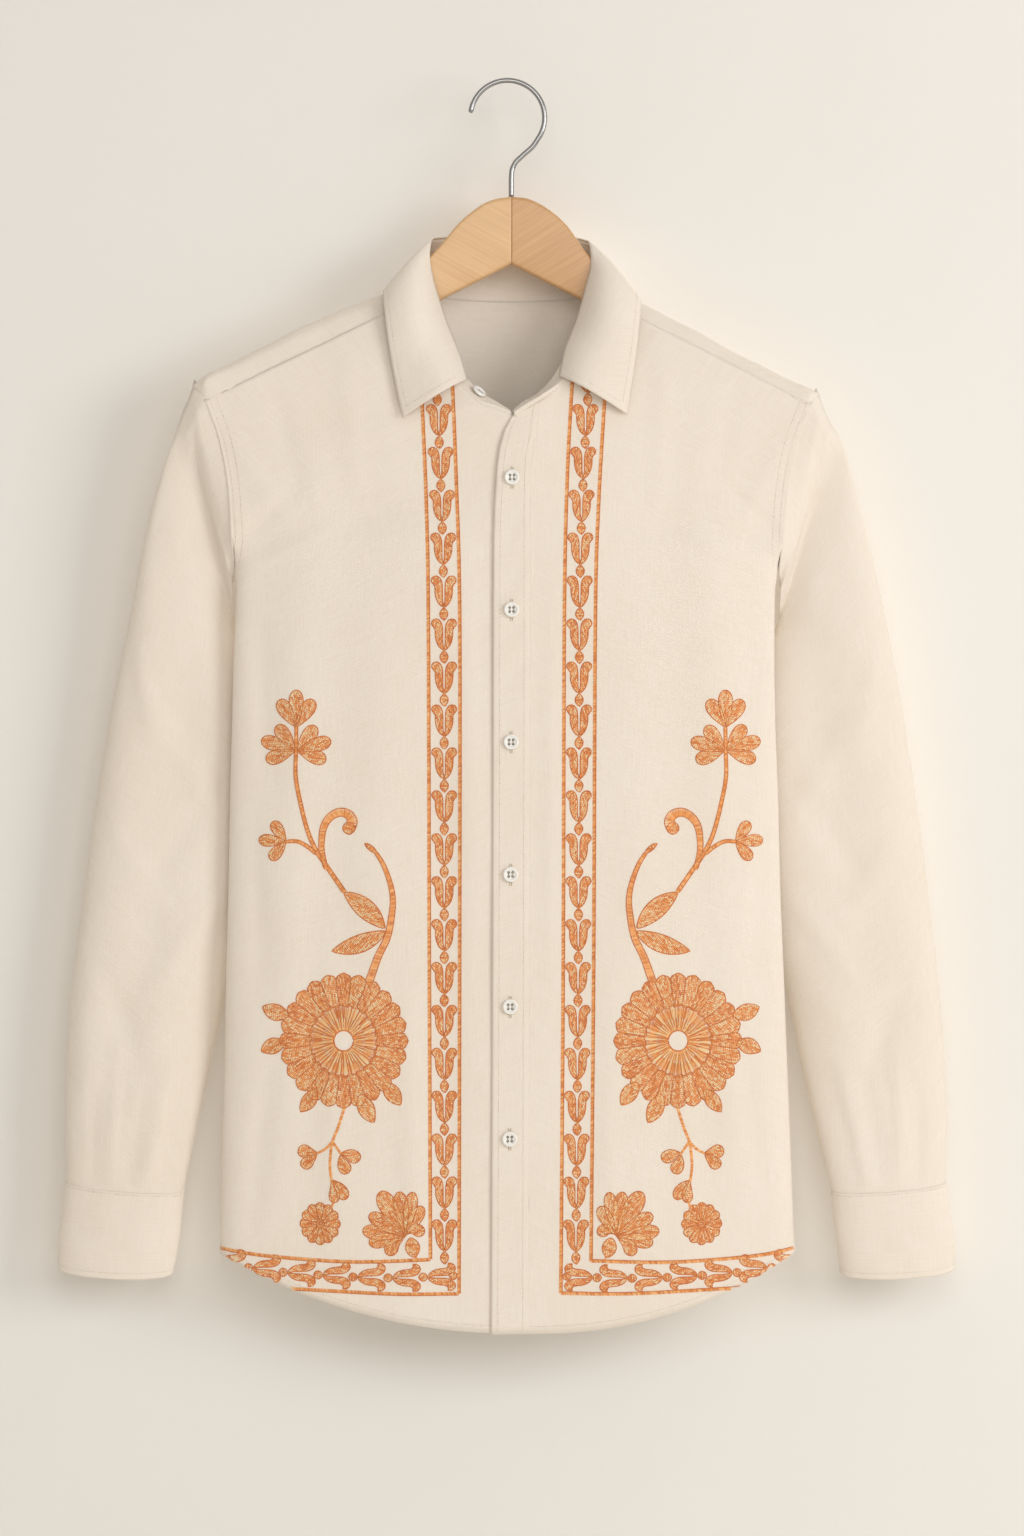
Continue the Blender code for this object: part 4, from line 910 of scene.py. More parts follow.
def ring(side, row, sides, bow=0.0):
    """One ring round an arm: from the outer point over the front to the inner point and back behind,
    with the depth as a blunt sine."""
    outer_z, right_outer, left_outer, inner_z, right_inner, left_inner = row[0:6]
    outer_y, inner_y, half_front, half_back = row[6:10]
    outer_x = right_outer if side == RIGHT else left_outer
    inner_x = right_inner if side == RIGHT else left_inner
    angle = np.arange(sides) * 2 * np.pi / sides
    share = 0.5 * (1 - np.cos(angle))
    depth = np.abs(np.sin(angle)) ** 0.8
    half = np.where(np.sin(angle) >= 0, -half_front, half_back)
    x = outer_x + (inner_x - outer_x) * share
    y = outer_y + (inner_y - outer_y) * share + half * depth
    z = outer_z + (inner_z - outer_z) * share - bow * depth * (np.sin(angle) >= 0)
    return np.stack([x, y, z], axis=-1)


def armhole_ring(side, sides):
    """The armhole seam as a ring, moved out of the body by the seam's gap."""
    half = sides // 2
    front = smooth(armhole(ARMHOLE_FRONT, side), half + 1)
    back = smooth(armhole(ARMHOLE_BACK, side), half + 1)
    seam = np.concatenate([front, back[-2:0:-1]])
    return seam + np.array((side * 0.9, 0.0, 0.0))


def sleeve_grid(side, sides):
    """Outer face of a sleeve: a strip level with the front beside the armhole seam, a fold back, and
    the hanging tube below, whose soft lengthwise folds are a cosine round the ring."""
    seam = armhole_ring(side, sides)
    angle = np.arange(sides) * 2 * np.pi / sides
    low = (0.5 * (1 - np.cos(angle)))[:, None]
    front = np.clip(np.sin(angle), 0, 1)[:, None]
    back = np.clip(-np.sin(angle), 0, 1)[:, None]
    rings = [seam]
    for *offsets, front_out, back_out, front_depth, back_depth in SLEEVE_HEAD:
        top, underarm = np.array(offsets[0:3]) * (side, 1, 1), np.array(offsets[3:6]) * (side, 1, 1)
        rings.append(seam + (1 - low) * top + low * underarm
                     + front * (side * front_out, front_depth, 0.0)
                     + back * (side * back_out, back_depth, 0.0))
    for number, row in enumerate(SLEEVE):
        rings.append(ring(side, row, sides, RING_BOW * number / (len(SLEEVE) - 1)))
    grid = np.stack(rings)
    along = np.linspace(0, 1, len(grid))[:, None]
    middle = grid.mean(axis=1, keepdims=True)
    wave = np.cos(FOLD_COUNT * angle[None, :] + 1.3 + 1.6 * along)
    fade = np.clip((along - 0.3) * 4, 0, 1) * np.clip((1 - along) * 6, 0, 1)
    away = (grid - middle) * (1.0, 1.0, 0.0)
    away = away / np.linalg.norm(away, axis=-1, keepdims=True)
    return grid + away * (FOLD_DEPTH * wave * fade)[..., None] * np.array((0.3, 1.0, 0.0))


SLEEVE_CREASES = [
    # start_turn, start_z, end_turn, end_z, half_width, rise; a turn is an angle round the ring times 48 mm
    (30, -420, 62, -520, 6, 1.6),
    (52, -470, 96, -560, 7, 1.8),
    (96, -520, 60, -610, 7, -1.6),
    (34, -560, 84, -640, 6, 1.5),
    (110, -600, 70, -700, 8, 1.6),
    (40, -660, 88, -760, 7, -1.5),
    (60, -720, 66, -838, 4, 1.9),
    (84, -740, 80, -838, 4, -1.6),
    (100, -730, 94, -838, 4.5, 1.7),
    (46, -750, 50, -838, 4, -1.4),
    (180, -430, 220, -560, 8, 1.6),
    (236, -500, 196, -640, 8, -1.6),
    (210, -620, 240, -740, 8, 1.6),
    (196, -720, 204, -838, 5, 1.7),
    (226, -740, 222, -838, 5, -1.5),
]
SLEEVE_ROUND = 48.0
SLEEVE_SIDES, SLEEVE_RINGS = 72, 150


def dressed_sleeve(side):
    """A sleeve's surface, more rings and points, with creases along its arm and puckers round the head. Its
    seam allowance is shorter and deeper on the front half, which slopes towards the front."""
    long = smooth(sleeve_grid(side, SLEEVE_SIDES), SLEEVE_RINGS)
    normal = grid_normals(long, True, side == RIGHT)
    angle = np.arange(SLEEVE_SIDES) * 2 * math.pi / SLEEVE_SIDES
    turn = np.broadcast_to(angle * SLEEVE_ROUND, long.shape[:2])
    rise = fold_rise(turn, long[..., 2], SLEEVE_CREASES)
    rise = rise + 0.5 * soft_noise(turn, 0.5 * long[..., 2], 61 + side, 12, 40.0) * np.sin(angle)
    down = arc_length(long, 0)
    fade = np.clip((down - 45.0) / 40.0, 0, 1) * np.clip((down[-1:] - down) / 3.0, 0, 1)
    fade = fade * np.clip(np.abs(np.sin(angle)) * 2.2 - 0.3, 0, 1)
    long = long + normal * (rise * fade)[..., None]
    gather = np.sin(turn * 2 * math.pi / 9.4 + side) * np.exp(-down / 7.0) * 0.3
    long = long + normal * (gather * np.clip(down / 2, 0, 1))[..., None]
    before = np.clip(6 * np.sin(angle), 0, 1)[:, None]
    long = carried_on(long, "top", 4.0 - 2.8 * before, 0.35 + 0.65 * before, normal)
    return carried_on(long, "bottom", 4.0, 0.5, normal)


panel("shirt_sleeve_right", "sleeve_right", dressed_sleeve(RIGHT), closed=True, flip=True)
panel("shirt_sleeve_left", "sleeve_left", dressed_sleeve(LEFT), closed=True)

# The cuffs: two layers with stiffening, a little proud of the sleeve's end, edge-stitched all round and
# buttoned behind. Their rings run from the sleeve seam to the lower edge.
CUFF_RINGS = 40
CUFF = [
    # outer_z, right_outer_x, left_outer_x, inner_z, right_inner_x, left_inner_x,
    # outer_y, inner_y, half_front, half_back
    (-827.5, -334, 331, -834.5, -244.1, 244.1, 7, 8, 16.4, 16.4),
    (-853, -336.9, 334.8, -856, -246.1, 246.2, 7, 8, 16.6, 16.6),
    (-877, -340, 338, -879, -249.2, 248.8, 7, 8, 17, 17),
    (-893, -339.6, 338, -897, -252.6, 251.2, 7, 8, 17.2, 17.2),
]
CUFF_BOW = 6.0


def cuff_grid(side, sides):
    """Outer face of a cuff, a short wide tube a little proud of the sleeve."""
    bows = np.linspace(RING_BOW, CUFF_BOW, len(CUFF))
    grid = np.stack([ring(side, row, sides, bow) for row, bow in zip(CUFF, bows)])
    grid[0, :, 2] -= LAP_GAP
    return grid


def dressed_cuff(side):
    """A cuff's surface, with more rings and slightly uneven faces."""
    grid = smooth(cuff_grid(side, SLEEVE_SIDES), CUFF_RINGS)
    normal = grid_normals(grid, True, side == RIGHT)
    return grid + normal * (0.25 * soft_noise(grid[..., 0], grid[..., 2], 71 + side, 10, 30.0))[..., None]


panel("shirt_cuff_right", "cuff_right", dressed_cuff(RIGHT), closed=True, flip=True, wall=1.2)
panel("shirt_cuff_left", "cuff_left", dressed_cuff(LEFT), closed=True, wall=1.2)

# The collar: a stand sewn to the neck seam and a leaf turned down over it, both of two layers with a
# stiffening, edge-stitched round the leaf.
# Roll line and outer edge of the collar leaf, from the right point round the back to the left point
LEAF = [
    # roll_x, roll_y, roll_z, edge_x, edge_y, edge_z
    (-31.5, -31, -228, -78.6, -42.5, -254.3),
    (-36.6, -24.5, -209.5, -81.5, -41.5, -241),
    (-46.5, -16, -183.5, -85.6, -38.5, -220),
    (-56, -12.5, -153, -90.4, -33, -190),
    (-60, -10.5, -134, -93, -23, -166.5),
    (-60.5, -4.5, -124, -93.6, -10, -155.8),
    (-59.5, 4.5, -120, -92.6, 6, -155.8),
    (-53, 16, -118, -83, 26, -161.5),
    (-32, 26, -117, -50, 39, -166),
    (2, 29, -116.5, 2, 43, -168),
    (36, 26, -117, 54, 39, -167),
    (57, 16, -119, 88, 26, -164),
    (64, 4.5, -122.5, 99, 6, -160.4),
    (65, -4.5, -127, 100, -10, -160.6),
    (64.5, -10.5, -138, 100.2, -23, -170),
    (60.5, -12.5, -154, 98.2, -33, -192),
    (53, -16, -181, 94.6, -38.5, -220),
    (43.5, -24.5, -207.5, 91.4, -41.5, -240),
    (40, -32, -225.5, 89.6, -42.5, -252),
]
LEAF_CROWN = 10.0
LEAF_FORWARD = 13.0
LEAF_LIFT = 1.9
LEAF_CROWN_PLACE = 0.38
LEAF_SPREAD = 1.15


def leaf_grid(columns, rows):
    """Outer face of the collar leaf: from the roll line to the edge as a quadratic curve, crowned away
    from the stand."""
    section = smooth(LEAF, columns)
    roll, edge = section[:, 0:3] + (0.0, 0.0, LEAF_LIFT), section[:, 3:6]
    forward = np.clip((-edge[:, 1:2] - 15.0) / 20.0, 0, 1) * (0.0, -LEAF_FORWARD, 0.0)
    along = np.gradient(roll + edge, axis=0)
    out = np.cross(along, edge - roll)
    out = out / np.linalg.norm(out, axis=1, keepdims=True)
    crown = roll + LEAF_CROWN_PLACE * (edge - roll) + LEAF_CROWN * out + forward
    t = np.linspace(0, 1, rows)[None, :, None] ** LEAF_SPREAD
    return (1 - t) ** 2 * roll[:, None] + 2 * t * (1 - t) * crown[:, None] + t ** 2 * edge[:, None]


def stand_grid(columns, rows):
    """Outer face of the collar stand: an upright edge on the neck seam, then straight to its top."""
    section = smooth(NECK, columns)
    seam, top = section[:, None, 0:3], section[:, None, 3:6]
    base = seam + (0.0, 0.0, STAND_FOOT)
    t = np.linspace(0, 1, rows)[None, :, None]
    return np.concatenate([seam, base * (1 - t) + top * t], axis=1)


LEAF_REST = 3.2
LEAF_SAG = 0.75
# The straight lines over which the leaf falls from the roll to its outer edge on both shoulders
LEAF_LINES = [
    # roll_x, roll_z, edge_x, edge_z, share taken off what lies outside the line
    (-60.7, -120.7, -93.4, -157.7, 0.75),
    (63.3, -119.9, 100.4, -164.6, 0.5),
]


def faces_of(*names):
    """A search tree over the surfaces of some panels."""
    points, quads, count = [], [], 0
    for name in names:
        grid = PANELS[name][0]
        number = np.arange(grid.shape[0] * grid.shape[1]).reshape(grid.shape[:2]) + count
        points.append(grid.reshape(-1, 3))
        quads.append(np.stack([number[:-1, :-1], number[:-1, 1:], number[1:, 1:], number[1:, :-1]],
                              axis=-1).reshape(-1, 4))
        count += grid.shape[0] * grid.shape[1]
    return BVHTree.FromPolygons(np.concatenate(points).tolist(), np.concatenate(quads).tolist())


def even(values, rounds):
    """Even out a grid of numbers: each round averages every number with its four neighbours."""
    for _ in range(rounds):
        wide = np.pad(values, 1, mode="edge")
        values = 0.2 * (values + wide[:-2, 1:-1] + wide[2:, 1:-1] + wide[1:-1, :-2] + wide[1:-1, 2:])
    return values


def dressed_leaf():
    """The leaf's surface: its outer part sags towards the fronts and the yoke, to LEAF_REST before them, and
    what bulges over the shoulder lines is drawn in."""
    grid = leaf_grid(130, 34)
    normal = grid_normals(grid, False, True)
    for roll_x, roll_z, edge_x, edge_z, share in LEAF_LINES:
        out = np.array((-(edge_z - roll_z), 0.0, edge_x - roll_x)) * (1 if edge_x > roll_x else -1)
        out = out / np.linalg.norm(out)
        beyond = np.clip((grid - (roll_x, 0.0, roll_z)) @ out, 0, None)
        grid = grid - out * (share * beyond)[..., None]
    body = faces_of("shirt_front_right", "shirt_front_left", "shirt_yoke")
    ahead = np.zeros(grid.shape[:2])
    for index, (x, _, z) in enumerate(grid.reshape(-1, 3).tolist()):
        hit = body.ray_cast((x, -200.0, z), (0.0, 1.0, 0.0))[0]
        if hit is not None:
            ahead.reshape(-1)[index] = hit[1] - grid.reshape(-1, 3)[index, 1] - LEAF_REST
    share = np.clip(arc_length(grid, 1) / 60.0, 0, 1) ** 1.5 * np.clip((-170.0 - grid[..., 2]) / 30.0, 0, 1)
    sag = even(LEAF_SAG * share * np.clip(ahead, 0, 20), 40)
    grid = grid + sag[..., None] * (0.0, 1.0, 0.0)
    return carried_on(grid, "start", 3.0, 0.0, normal)


def dressed_stand():
    """The stand with its seam allowances: down into the neck seam, and up into the roll of the leaf except
    near its two ends, which stand clear of the leaf."""
    grid = stand_grid(130, 12)
    normal = grid_normals(grid, False, False)
    into_roll = 2.2 * np.clip((grid[:, -1:, 2] + 155.0) / 20.0, 0.02, 1)
    grid = carried_on(grid, "start", 2.5, 0.3, normal)
    return carried_on(grid, "end", into_roll, 0.0, normal)


panel("shirt_collar_stand", "collar_stand", dressed_stand(), wall=1.0)
panel("shirt_collar_leaf", "collar_leaf", dressed_leaf(), flip=True, wall=1.0)

# The sewing: pale cotton thread in short raised stitches, one row along the hems, the placket's edges, the
# yoke's front edge, the cuffs' edges, the stand's neck seam and the leaf's edges, and two on the yoke's back
# seam and round the armholes of the fronts.
SEW_LENGTH = 2.5
SEW_PITCH = 3.1
SEW_WIDTH = 0.55
SEW_HEIGHT = 0.32


def thread_paint(name, dark, middle, light, roughness=0.6):
    """Twisted thread: the tone attribute picks between three colours, and a wave round it gives the twist."""
    made, tree, shader = paint(name, {"Roughness": roughness, "Sheen Weight": 0.25})
    tone = add_node(tree, "Attribute", attribute_name="tone").outputs["Fac"]
    colour = ramp_of(tree, tone, (0.0, dark), (0.5, middle), (1.0, light))
    tree.links.new(colour, shader.inputs["Base Color"])
    twist = add_node(tree, "Attribute", attribute_name="twist").outputs["Fac"]
    add_bump(tree, shader, maths(tree, "SINE", maths(tree, "MULTIPLY", twist, 9.0)), 0.5, 0.0002)
    return made


def thread_piece(name, finish, stations, normals, width, height, tone):
    """Every stitch is a low ridge over three stations (start, middle, end), each with a left base, a crest
    and a right base. stations is (stitch, 3, xyz); width, height and tone are one number a stitch."""
    count = len(stations)
    run = stations[:, 2] - stations[:, 0]
    aside = unit(np.cross(normals, run[:, None, :]))
    width, height, tone = (np.broadcast_to(value, count)[:, None] for value in (width, height, tone))
    half = (0.5 * width * (0.62, 1.0, 0.62))[..., None]
    crest = (height * (0.35, 1.0, 0.35))[..., None]
    sunk = stations - normals * 0.04
    points = np.stack([sunk - aside * half, stations + normals * crest, sunk + aside * half], axis=2)
    first = np.arange(count)[:, None, None] * 9
    quads = first + np.array([(0, 1, 4, 3), (1, 2, 5, 4), (3, 4, 7, 6), (4, 5, 8, 7)])
    mesh = smooth_mesh(name, points, quads.reshape(-1, 4).tolist(), finish)
    length = np.linalg.norm(run, axis=-1)[:, None, None]
    twist = length * np.array((0.0, 0.5, 1.0))[:, None] + np.array((-0.4, 0.0, 0.4))
    for label, values in (("tone", np.broadcast_to(tone, (count, 9))), ("twist", twist)):
        attribute = mesh.attributes.new(label, "FLOAT", "POINT")
        attribute.data.foreach_set("value", np.ascontiguousarray(values, dtype=np.float32).ravel())
    link(name, mesh, [])


def edge_line(name, edge, distance):
    """The line on a panel at `distance` from one of its edges, as points and outward normals: each grid
    line that leaves the edge is followed for that length."""
    grid, normal = PANELS[name]
    if edge in ("start", "end"):
        grid, normal = grid.transpose(1, 0, 2), normal.transpose(1, 0, 2)
    if edge in ("bottom", "end"):
        grid, normal = grid[::-1], normal[::-1]
    away = arc_length(grid, 0)
    index = np.clip((away < distance).sum(axis=0), 1, len(grid) - 1)
    column = np.arange(grid.shape[1])
    low, high = away[index - 1, column], away[index, column]
    share = ((distance - low) / np.maximum(high - low, 1e-6))[:, None]
    line = grid[index - 1, column] * (1 - share) + grid[index, column] * share
    normals = normal[index - 1, column]
    return line, normals


def along_path(path, run, places):
    """Points of a path at some lengths along it; run is the length to each of its own points."""
    return np.stack([np.interp(places, run, path[:, k]) for k in range(path.shape[1])], axis=-1)


def sewn(line, normals, skip):
    """Stitches set end to end along a line, with small gaps; skip leaves its two ends bare."""
    run = arc_length(line, 0)
    starts = np.arange(skip[0], run[-1] - SEW_LENGTH - skip[1], SEW_PITCH)
    places = starts[:, None] + np.array((0.0, 0.5, 1.0)) * SEW_LENGTH
    return along_path(line, run, places), unit(along_path(normals, run, places))


# Every row of stitches: the panel, its edge, the distance from it, and the bare lengths at both ends
SEWN_ROWS = [
    ("shirt_front_right", "bottom", 5.6, 4.0, 0.0),
    ("shirt_front_left", "bottom", 5.6, 0.0, 0.0),
    ("shirt_back", "bottom", 5.6, 0.0, 0.0),
    ("shirt_placket", "start", 5.2, 2.0, 0.0),
    ("shirt_placket", "end", 6.0, 2.0, 0.0),
    ("shirt_front_right", "end", 3.8, 0.0, 515.0),
    ("shirt_front_right", "end", 9.2, 0.0, 515.0),
    ("shirt_front_left", "end", 3.8, 0.0, 515.0),
    ("shirt_front_left", "end", 9.2, 0.0, 515.0),
    ("shirt_yoke", "start", 1.6, 0.0, 0.0),
    ("shirt_yoke", "end", 1.6, 0.0, 0.0),
    ("shirt_yoke", "end", 6.5, 0.0, 0.0),
    ("shirt_cuff_right", "top", 2.2, 0.0, 0.0),
    ("shirt_cuff_left", "top", 2.2, 0.0, 0.0),
    ("shirt_cuff_right", "bottom", 4.5, 0.0, 0.0),
    ("shirt_cuff_left", "bottom", 4.5, 0.0, 0.0),
    ("shirt_collar_stand", "start", 4.5, 0.0, 0.0),
    ("shirt_collar_leaf", "end", 5.5, 5.5, 5.5),
    ("shirt_collar_leaf", "top", 5.5, 12.0, 5.5),
    ("shirt_collar_leaf", "bottom", 5.5, 12.0, 5.5),
]

rows = [sewn(*edge_line(name, edge, distance), (bare_start, bare_end))
        for name, edge, distance, bare_start, bare_end in SEWN_ROWS]
stations, facing = (np.concatenate(part) for part in zip(*rows))
tones = np.random.default_rng(101).uniform(0.2, 0.9, len(stations))
sewing_thread = thread_paint("sewing_thread", (0.60, 0.50, 0.37), (0.74, 0.65, 0.52), (0.84, 0.77, 0.66))
thread_piece("sewing", sewing_thread, stations, facing, SEW_WIDTH, SEW_HEIGHT, tones)

# The embroidery: two shades of orange cotton thread worked by hand in long and short stitches, with a darker
# stem stitch round each form. A band of tulips runs down beside the placket and turns along the hem, and a
# spray of flowers stands above it on each front. It is sewn through the cloth and stands just proud of it.
FILL_PITCH = 1.1
FILL_LENGTH = 2.6
FILL_HEIGHT = 0.6
ROPE_PITCH = 1.5
ROPE_LENGTH = 3.0
ROPE_HEIGHT = 0.75
MIRROR_X = 2.6
FLOWER_TALL = 1.05


def spline(points, count):
    """A smooth path through a few points: Catmull-Rom, each span a cubic in the step between them."""
    points = np.asarray(points, dtype=float)
    pad = np.concatenate([2 * points[:1] - points[1:2], points, 2 * points[-1:] - points[-2:-1]])
    step = np.linspace(0, len(points) - 1, count)
    index = np.minimum(step.astype(int), len(points) - 2)
    t = (step - index)[:, None]
    a, b, c, d = (pad[index + k] for k in range(4))
    return 0.5 * (2 * b + (c - a) * t + (2 * a - 5 * b + 4 * c - d) * t ** 2
                  + (3 * b - a - 3 * c + d) * t ** 3)


def closed_spline(points, count):
    """The same smooth path, closed on itself."""
    points = list(points)
    path = spline(points[-2:] + points + points[:2], (len(points) + 3) * count // len(points) + 1)
    per_span = (len(path) - 1) / (len(points) + 3)
    return path[round(2 * per_span):round((len(points) + 2) * per_span)]


def left_of(ahead):
    """Flat directions turned a quarter to their left."""
    return np.stack([-ahead[:, 1], ahead[:, 0]], axis=-1)


class Needle:
    """Collects the stitches of one panel's embroidery as flat (x, z) pairs with width, height and tone."""

    def __init__(self, seed):
        self.draw = np.random.default_rng(seed)
        self.rows = []

    def add(self, ends, width, height, tone, spread):
        """Keep stitches given as (stitch, 2, xz) with a random change of tone."""
        ends = np.asarray(ends, dtype=float).reshape(-1, 4)
        if len(ends):
            tones = np.clip(tone + self.draw.uniform(-spread, spread, len(ends)), 0, 1)
            flat = np.full((len(ends), 2), (width, height))
            self.rows.append(np.concatenate([ends, flat, tones[:, None]], axis=1))

    def rope(self, path, width, tone):
        """Stem stitch: short stitches along a path, each starting beside the last and crossing over it."""
        run = arc_length(path, 0)
        starts = np.arange(0.0, max(run[-1] - 0.6 * ROPE_LENGTH, 0.1), ROPE_PITCH)
        ends = []
        for place, aside in ((starts, -0.28), (np.minimum(starts + ROPE_LENGTH, run[-1]), 0.28)):
            ahead = unit(along_path(path, run, place + 0.5) - along_path(path, run, place - 0.5))
            ends.append(along_path(path, run, place) + aside * width * left_of(ahead))
        self.add(np.stack(ends, axis=1), width, ROPE_HEIGHT, tone, 0.16)

    def fill(self, outline, angle, tone, spread=0.48, pitch=FILL_PITCH, longest=FILL_LENGTH,
             height=FILL_HEIGHT, width=0.94):
        """Long and short stitch: parallel lines cross the outline, and each line is cut into stitches."""
        turn = np.array([[math.cos(angle), math.sin(angle)], [-math.sin(angle), math.cos(angle)]])
        flat = np.asarray(outline) @ turn.T
        after = np.roll(flat, -1, axis=0)
        stitches = []
        for number, level in enumerate(np.arange(flat[:, 1].min() + 0.4 * pitch, flat[:, 1].max(), pitch)):
            over = (flat[:, 1] > level) != (after[:, 1] > level)
            low, step = flat[over], (after - flat)[over]
            cuts = np.sort(low[:, 0] + (level - low[:, 1]) * step[:, 0] / step[:, 1])
            for left, right in zip(cuts[::2], cuts[1::2]):
                pieces = max(1, round((right - left) / longest + 0.25 * (number % 2)))
                marks = np.linspace(left, right, pieces + 1)
                if pieces > 1:
                    marks[1:-1] += self.draw.uniform(-0.22, 0.22, pieces - 1) * (right - left) / pieces
                for a, b in zip(marks, marks[1:]):
                    stitches.append(((a - 0.12, level), (b + 0.12, level)))
        if stitches:
            self.add(np.array(stitches) @ turn, pitch * width, height, tone, spread)

    def satin(self, first, second, tone, spread=0.25, pitch=FILL_PITCH, slant=0.9):
        """Satin stitch between two paths of the same run, each stitch slanted by a short way along them."""
        run = arc_length(0.5 * (first + second), 0)
        place = np.arange(0.0, run[-1], pitch)
        ends = [along_path(path, run, np.clip(place + shift, 0, run[-1]))
                for path, shift in ((first, -0.5 * slant), (second, 0.5 * slant))]
        self.add(np.stack(ends, axis=1), pitch * 1.25, FILL_HEIGHT, tone, spread)

    def form(self, outline, angle, tone, width=1.0):
        """A filled form: a dark layer laid across it, the long and short stitches over that, and its darker
        outline."""
        self.fill(outline, angle + 1.3, tone=0.06, spread=0.08, pitch=1.6, longest=9.0, height=0.22,
                  width=1.3)
        self.fill(outline, angle, tone=tone)
        self.rope(np.concatenate([outline, outline[:2]]), width=width, tone=0.08)


def beside(path, distance):
    """The path moved sideways to its left by a distance, which may change along it."""
    return path + np.asarray(distance).reshape(-1, 1) * left_of(unit(np.gradient(path, axis=0)))


def placed(shape, place, angle):
    """A shape drawn upright about (0, 0), turned clockwise and moved."""
    cosine, sine = math.cos(angle), math.sin(angle)
    return np.asarray(shape) @ np.array(((cosine, -sine), (sine, cosine))) + place


# Half a tulip in the upright bands and half a one along the hem: from the foot up the outer side, round the
# curled end and back down beside the slit
TULIP_HALF = [(0.1, 0.0), (2.7, 1.7), (4.7, 4.4), (5.9, 7.7), (6.5, 11.1), (6.5, 14.4), (6.7, 17.1),
              (8.2, 17.6), (9.5, 19.7), (9, 22), (7.2, 23.3), (4.7, 23.4), (2.7, 21.9), (1.5, 19.2), (1.1, 16),
              (1, 12.4), (1, 8.4), (1, 5)]
HEM_TULIP_HALF = [(0.1, 0.0), (2.6, 1.4), (4.7, 4.2), (5.8, 8.0), (6.2, 12.0), (6.8, 14.8), (8.6, 15.6),
                  (10.4, 15.2), (10.2, 17.6), (8.4, 20.2), (5.4, 20.6), (2.8, 18.4), (1.3, 14.4), (1, 9.4),
                  (0.9, 4.6)]


def tulip(needle, place, angle, half_shape):
    """Two curled arms that spring from one foot at `place`, with a slit of bare cloth between them."""
    for side in (-1, 1):
        half = closed_spline([(side * x, y) for x, y in half_shape], 72)
        needle.form(placed(half, place, angle), math.pi / 2 - angle + side * 0.3, tone=0.55, width=0.9)


def bead(needle, place, angle, width, length, point=1.0, tone=0.55):
    """A lens with half-width width/2*sin(pi*t)^point between its two points, upright about its middle."""
    t = np.linspace(0, 1, 15)
    half = 0.5 * width * np.abs(np.sin(math.pi * t)) ** point
    outline = np.concatenate([np.stack([half, (t - 0.5) * length], axis=-1),
                              np.stack([-half, (t - 0.5) * length], axis=-1)[-2:0:-1]])
    needle.form(placed(outline, place, angle), -angle, tone=tone, width=0.85)


def petal_width(t):
    """Half-width of a petal from its foot (t = 0) to its round end (t = 1), as a share of the widest: a
    quarter sine up to 0.72, then a quarter circle."""
    return np.where(t < 0.72, np.sin(0.5 * math.pi * np.minimum(t / 0.72, 1.0)),
                    np.sqrt(np.clip(1 - np.maximum(t - 0.72, 0) ** 2 / 0.28 ** 2, 0, 1)))


def blade(needle, start, end, t, half, bend, slant, **look):
    """A form on both sides of a bent line: t says where its points lie from start (0) to end (1), and half
    how far it reaches to each side there. Returns the line."""
    start, end = np.asarray(start, dtype=float), np.asarray(end, dtype=float)
    line = beside(start + (end - start) * t[:, None], bend * np.sin(math.pi * t))
    outline = np.concatenate([beside(line, half), beside(line, -half)[-2:0:-1]])
    run = end - start
    needle.form(outline, math.atan2(run[1], run[0]) + slant, **look)
    return line


def petal(needle, foot, tip, width, bend=0.0):
    """A petal with a narrow foot and a round end, bent sideways."""
    t = 1 - (1 - np.linspace(0, 1, 18)) ** 1.4
    blade(needle, foot, tip, t, 0.5 * width * petal_width(t), bend, 0.25, tone=0.6, width=0.85)


def leaf(needle, base, tip, width, bend):
    """A pointed leaf: a lens between base and tip with half-width width/2*sin(pi*t)^0.8, bent sideways, with
    a line of darker stitches down its middle."""
    t = np.linspace(0, 1, 22)
    half = 0.5 * width * np.abs(np.sin(math.pi * t)) ** 0.8
    line = blade(needle, base, tip, t, half, bend, 0.5, tone=0.66)
    needle.rope(line[2:-4], width=0.8, tone=0.28)


def trefoil(needle, node, angle, length, width, spread):
    """Three petals from one node, spread apart by an angle, the middle one the longest and laid last."""
    for turn, share in ((-spread, 0.87), (spread, 0.87), (0.0, 1.0)):
        way = np.array((math.sin(angle + turn), math.cos(angle + turn)))
        petal(needle, node, np.asarray(node) + way * length * share, width)


def stem(needle, points, wide_start, wide_end):
    """A stem whose width changes evenly from start to end, in satin stitch with a darker line each side."""
    path = spline(points, 40)
    half = 0.5 * np.linspace(wide_start, wide_end, 40)
    left, right = beside(path, half), beside(path, -half)
    needle.satin(left, right, tone=0.42)
    if max(wide_start, wide_end) > 2.4:
        needle.rope(left, width=0.8, tone=0.15)
        needle.rope(right, width=0.8, tone=0.15)


def ring_path(place, radius, count=60):
    """A circle, a little taller than wide."""
    a = np.linspace(0, 2 * math.pi, count)
    return place + radius * np.stack([np.cos(a), FLOWER_TALL * np.sin(a)], axis=-1)


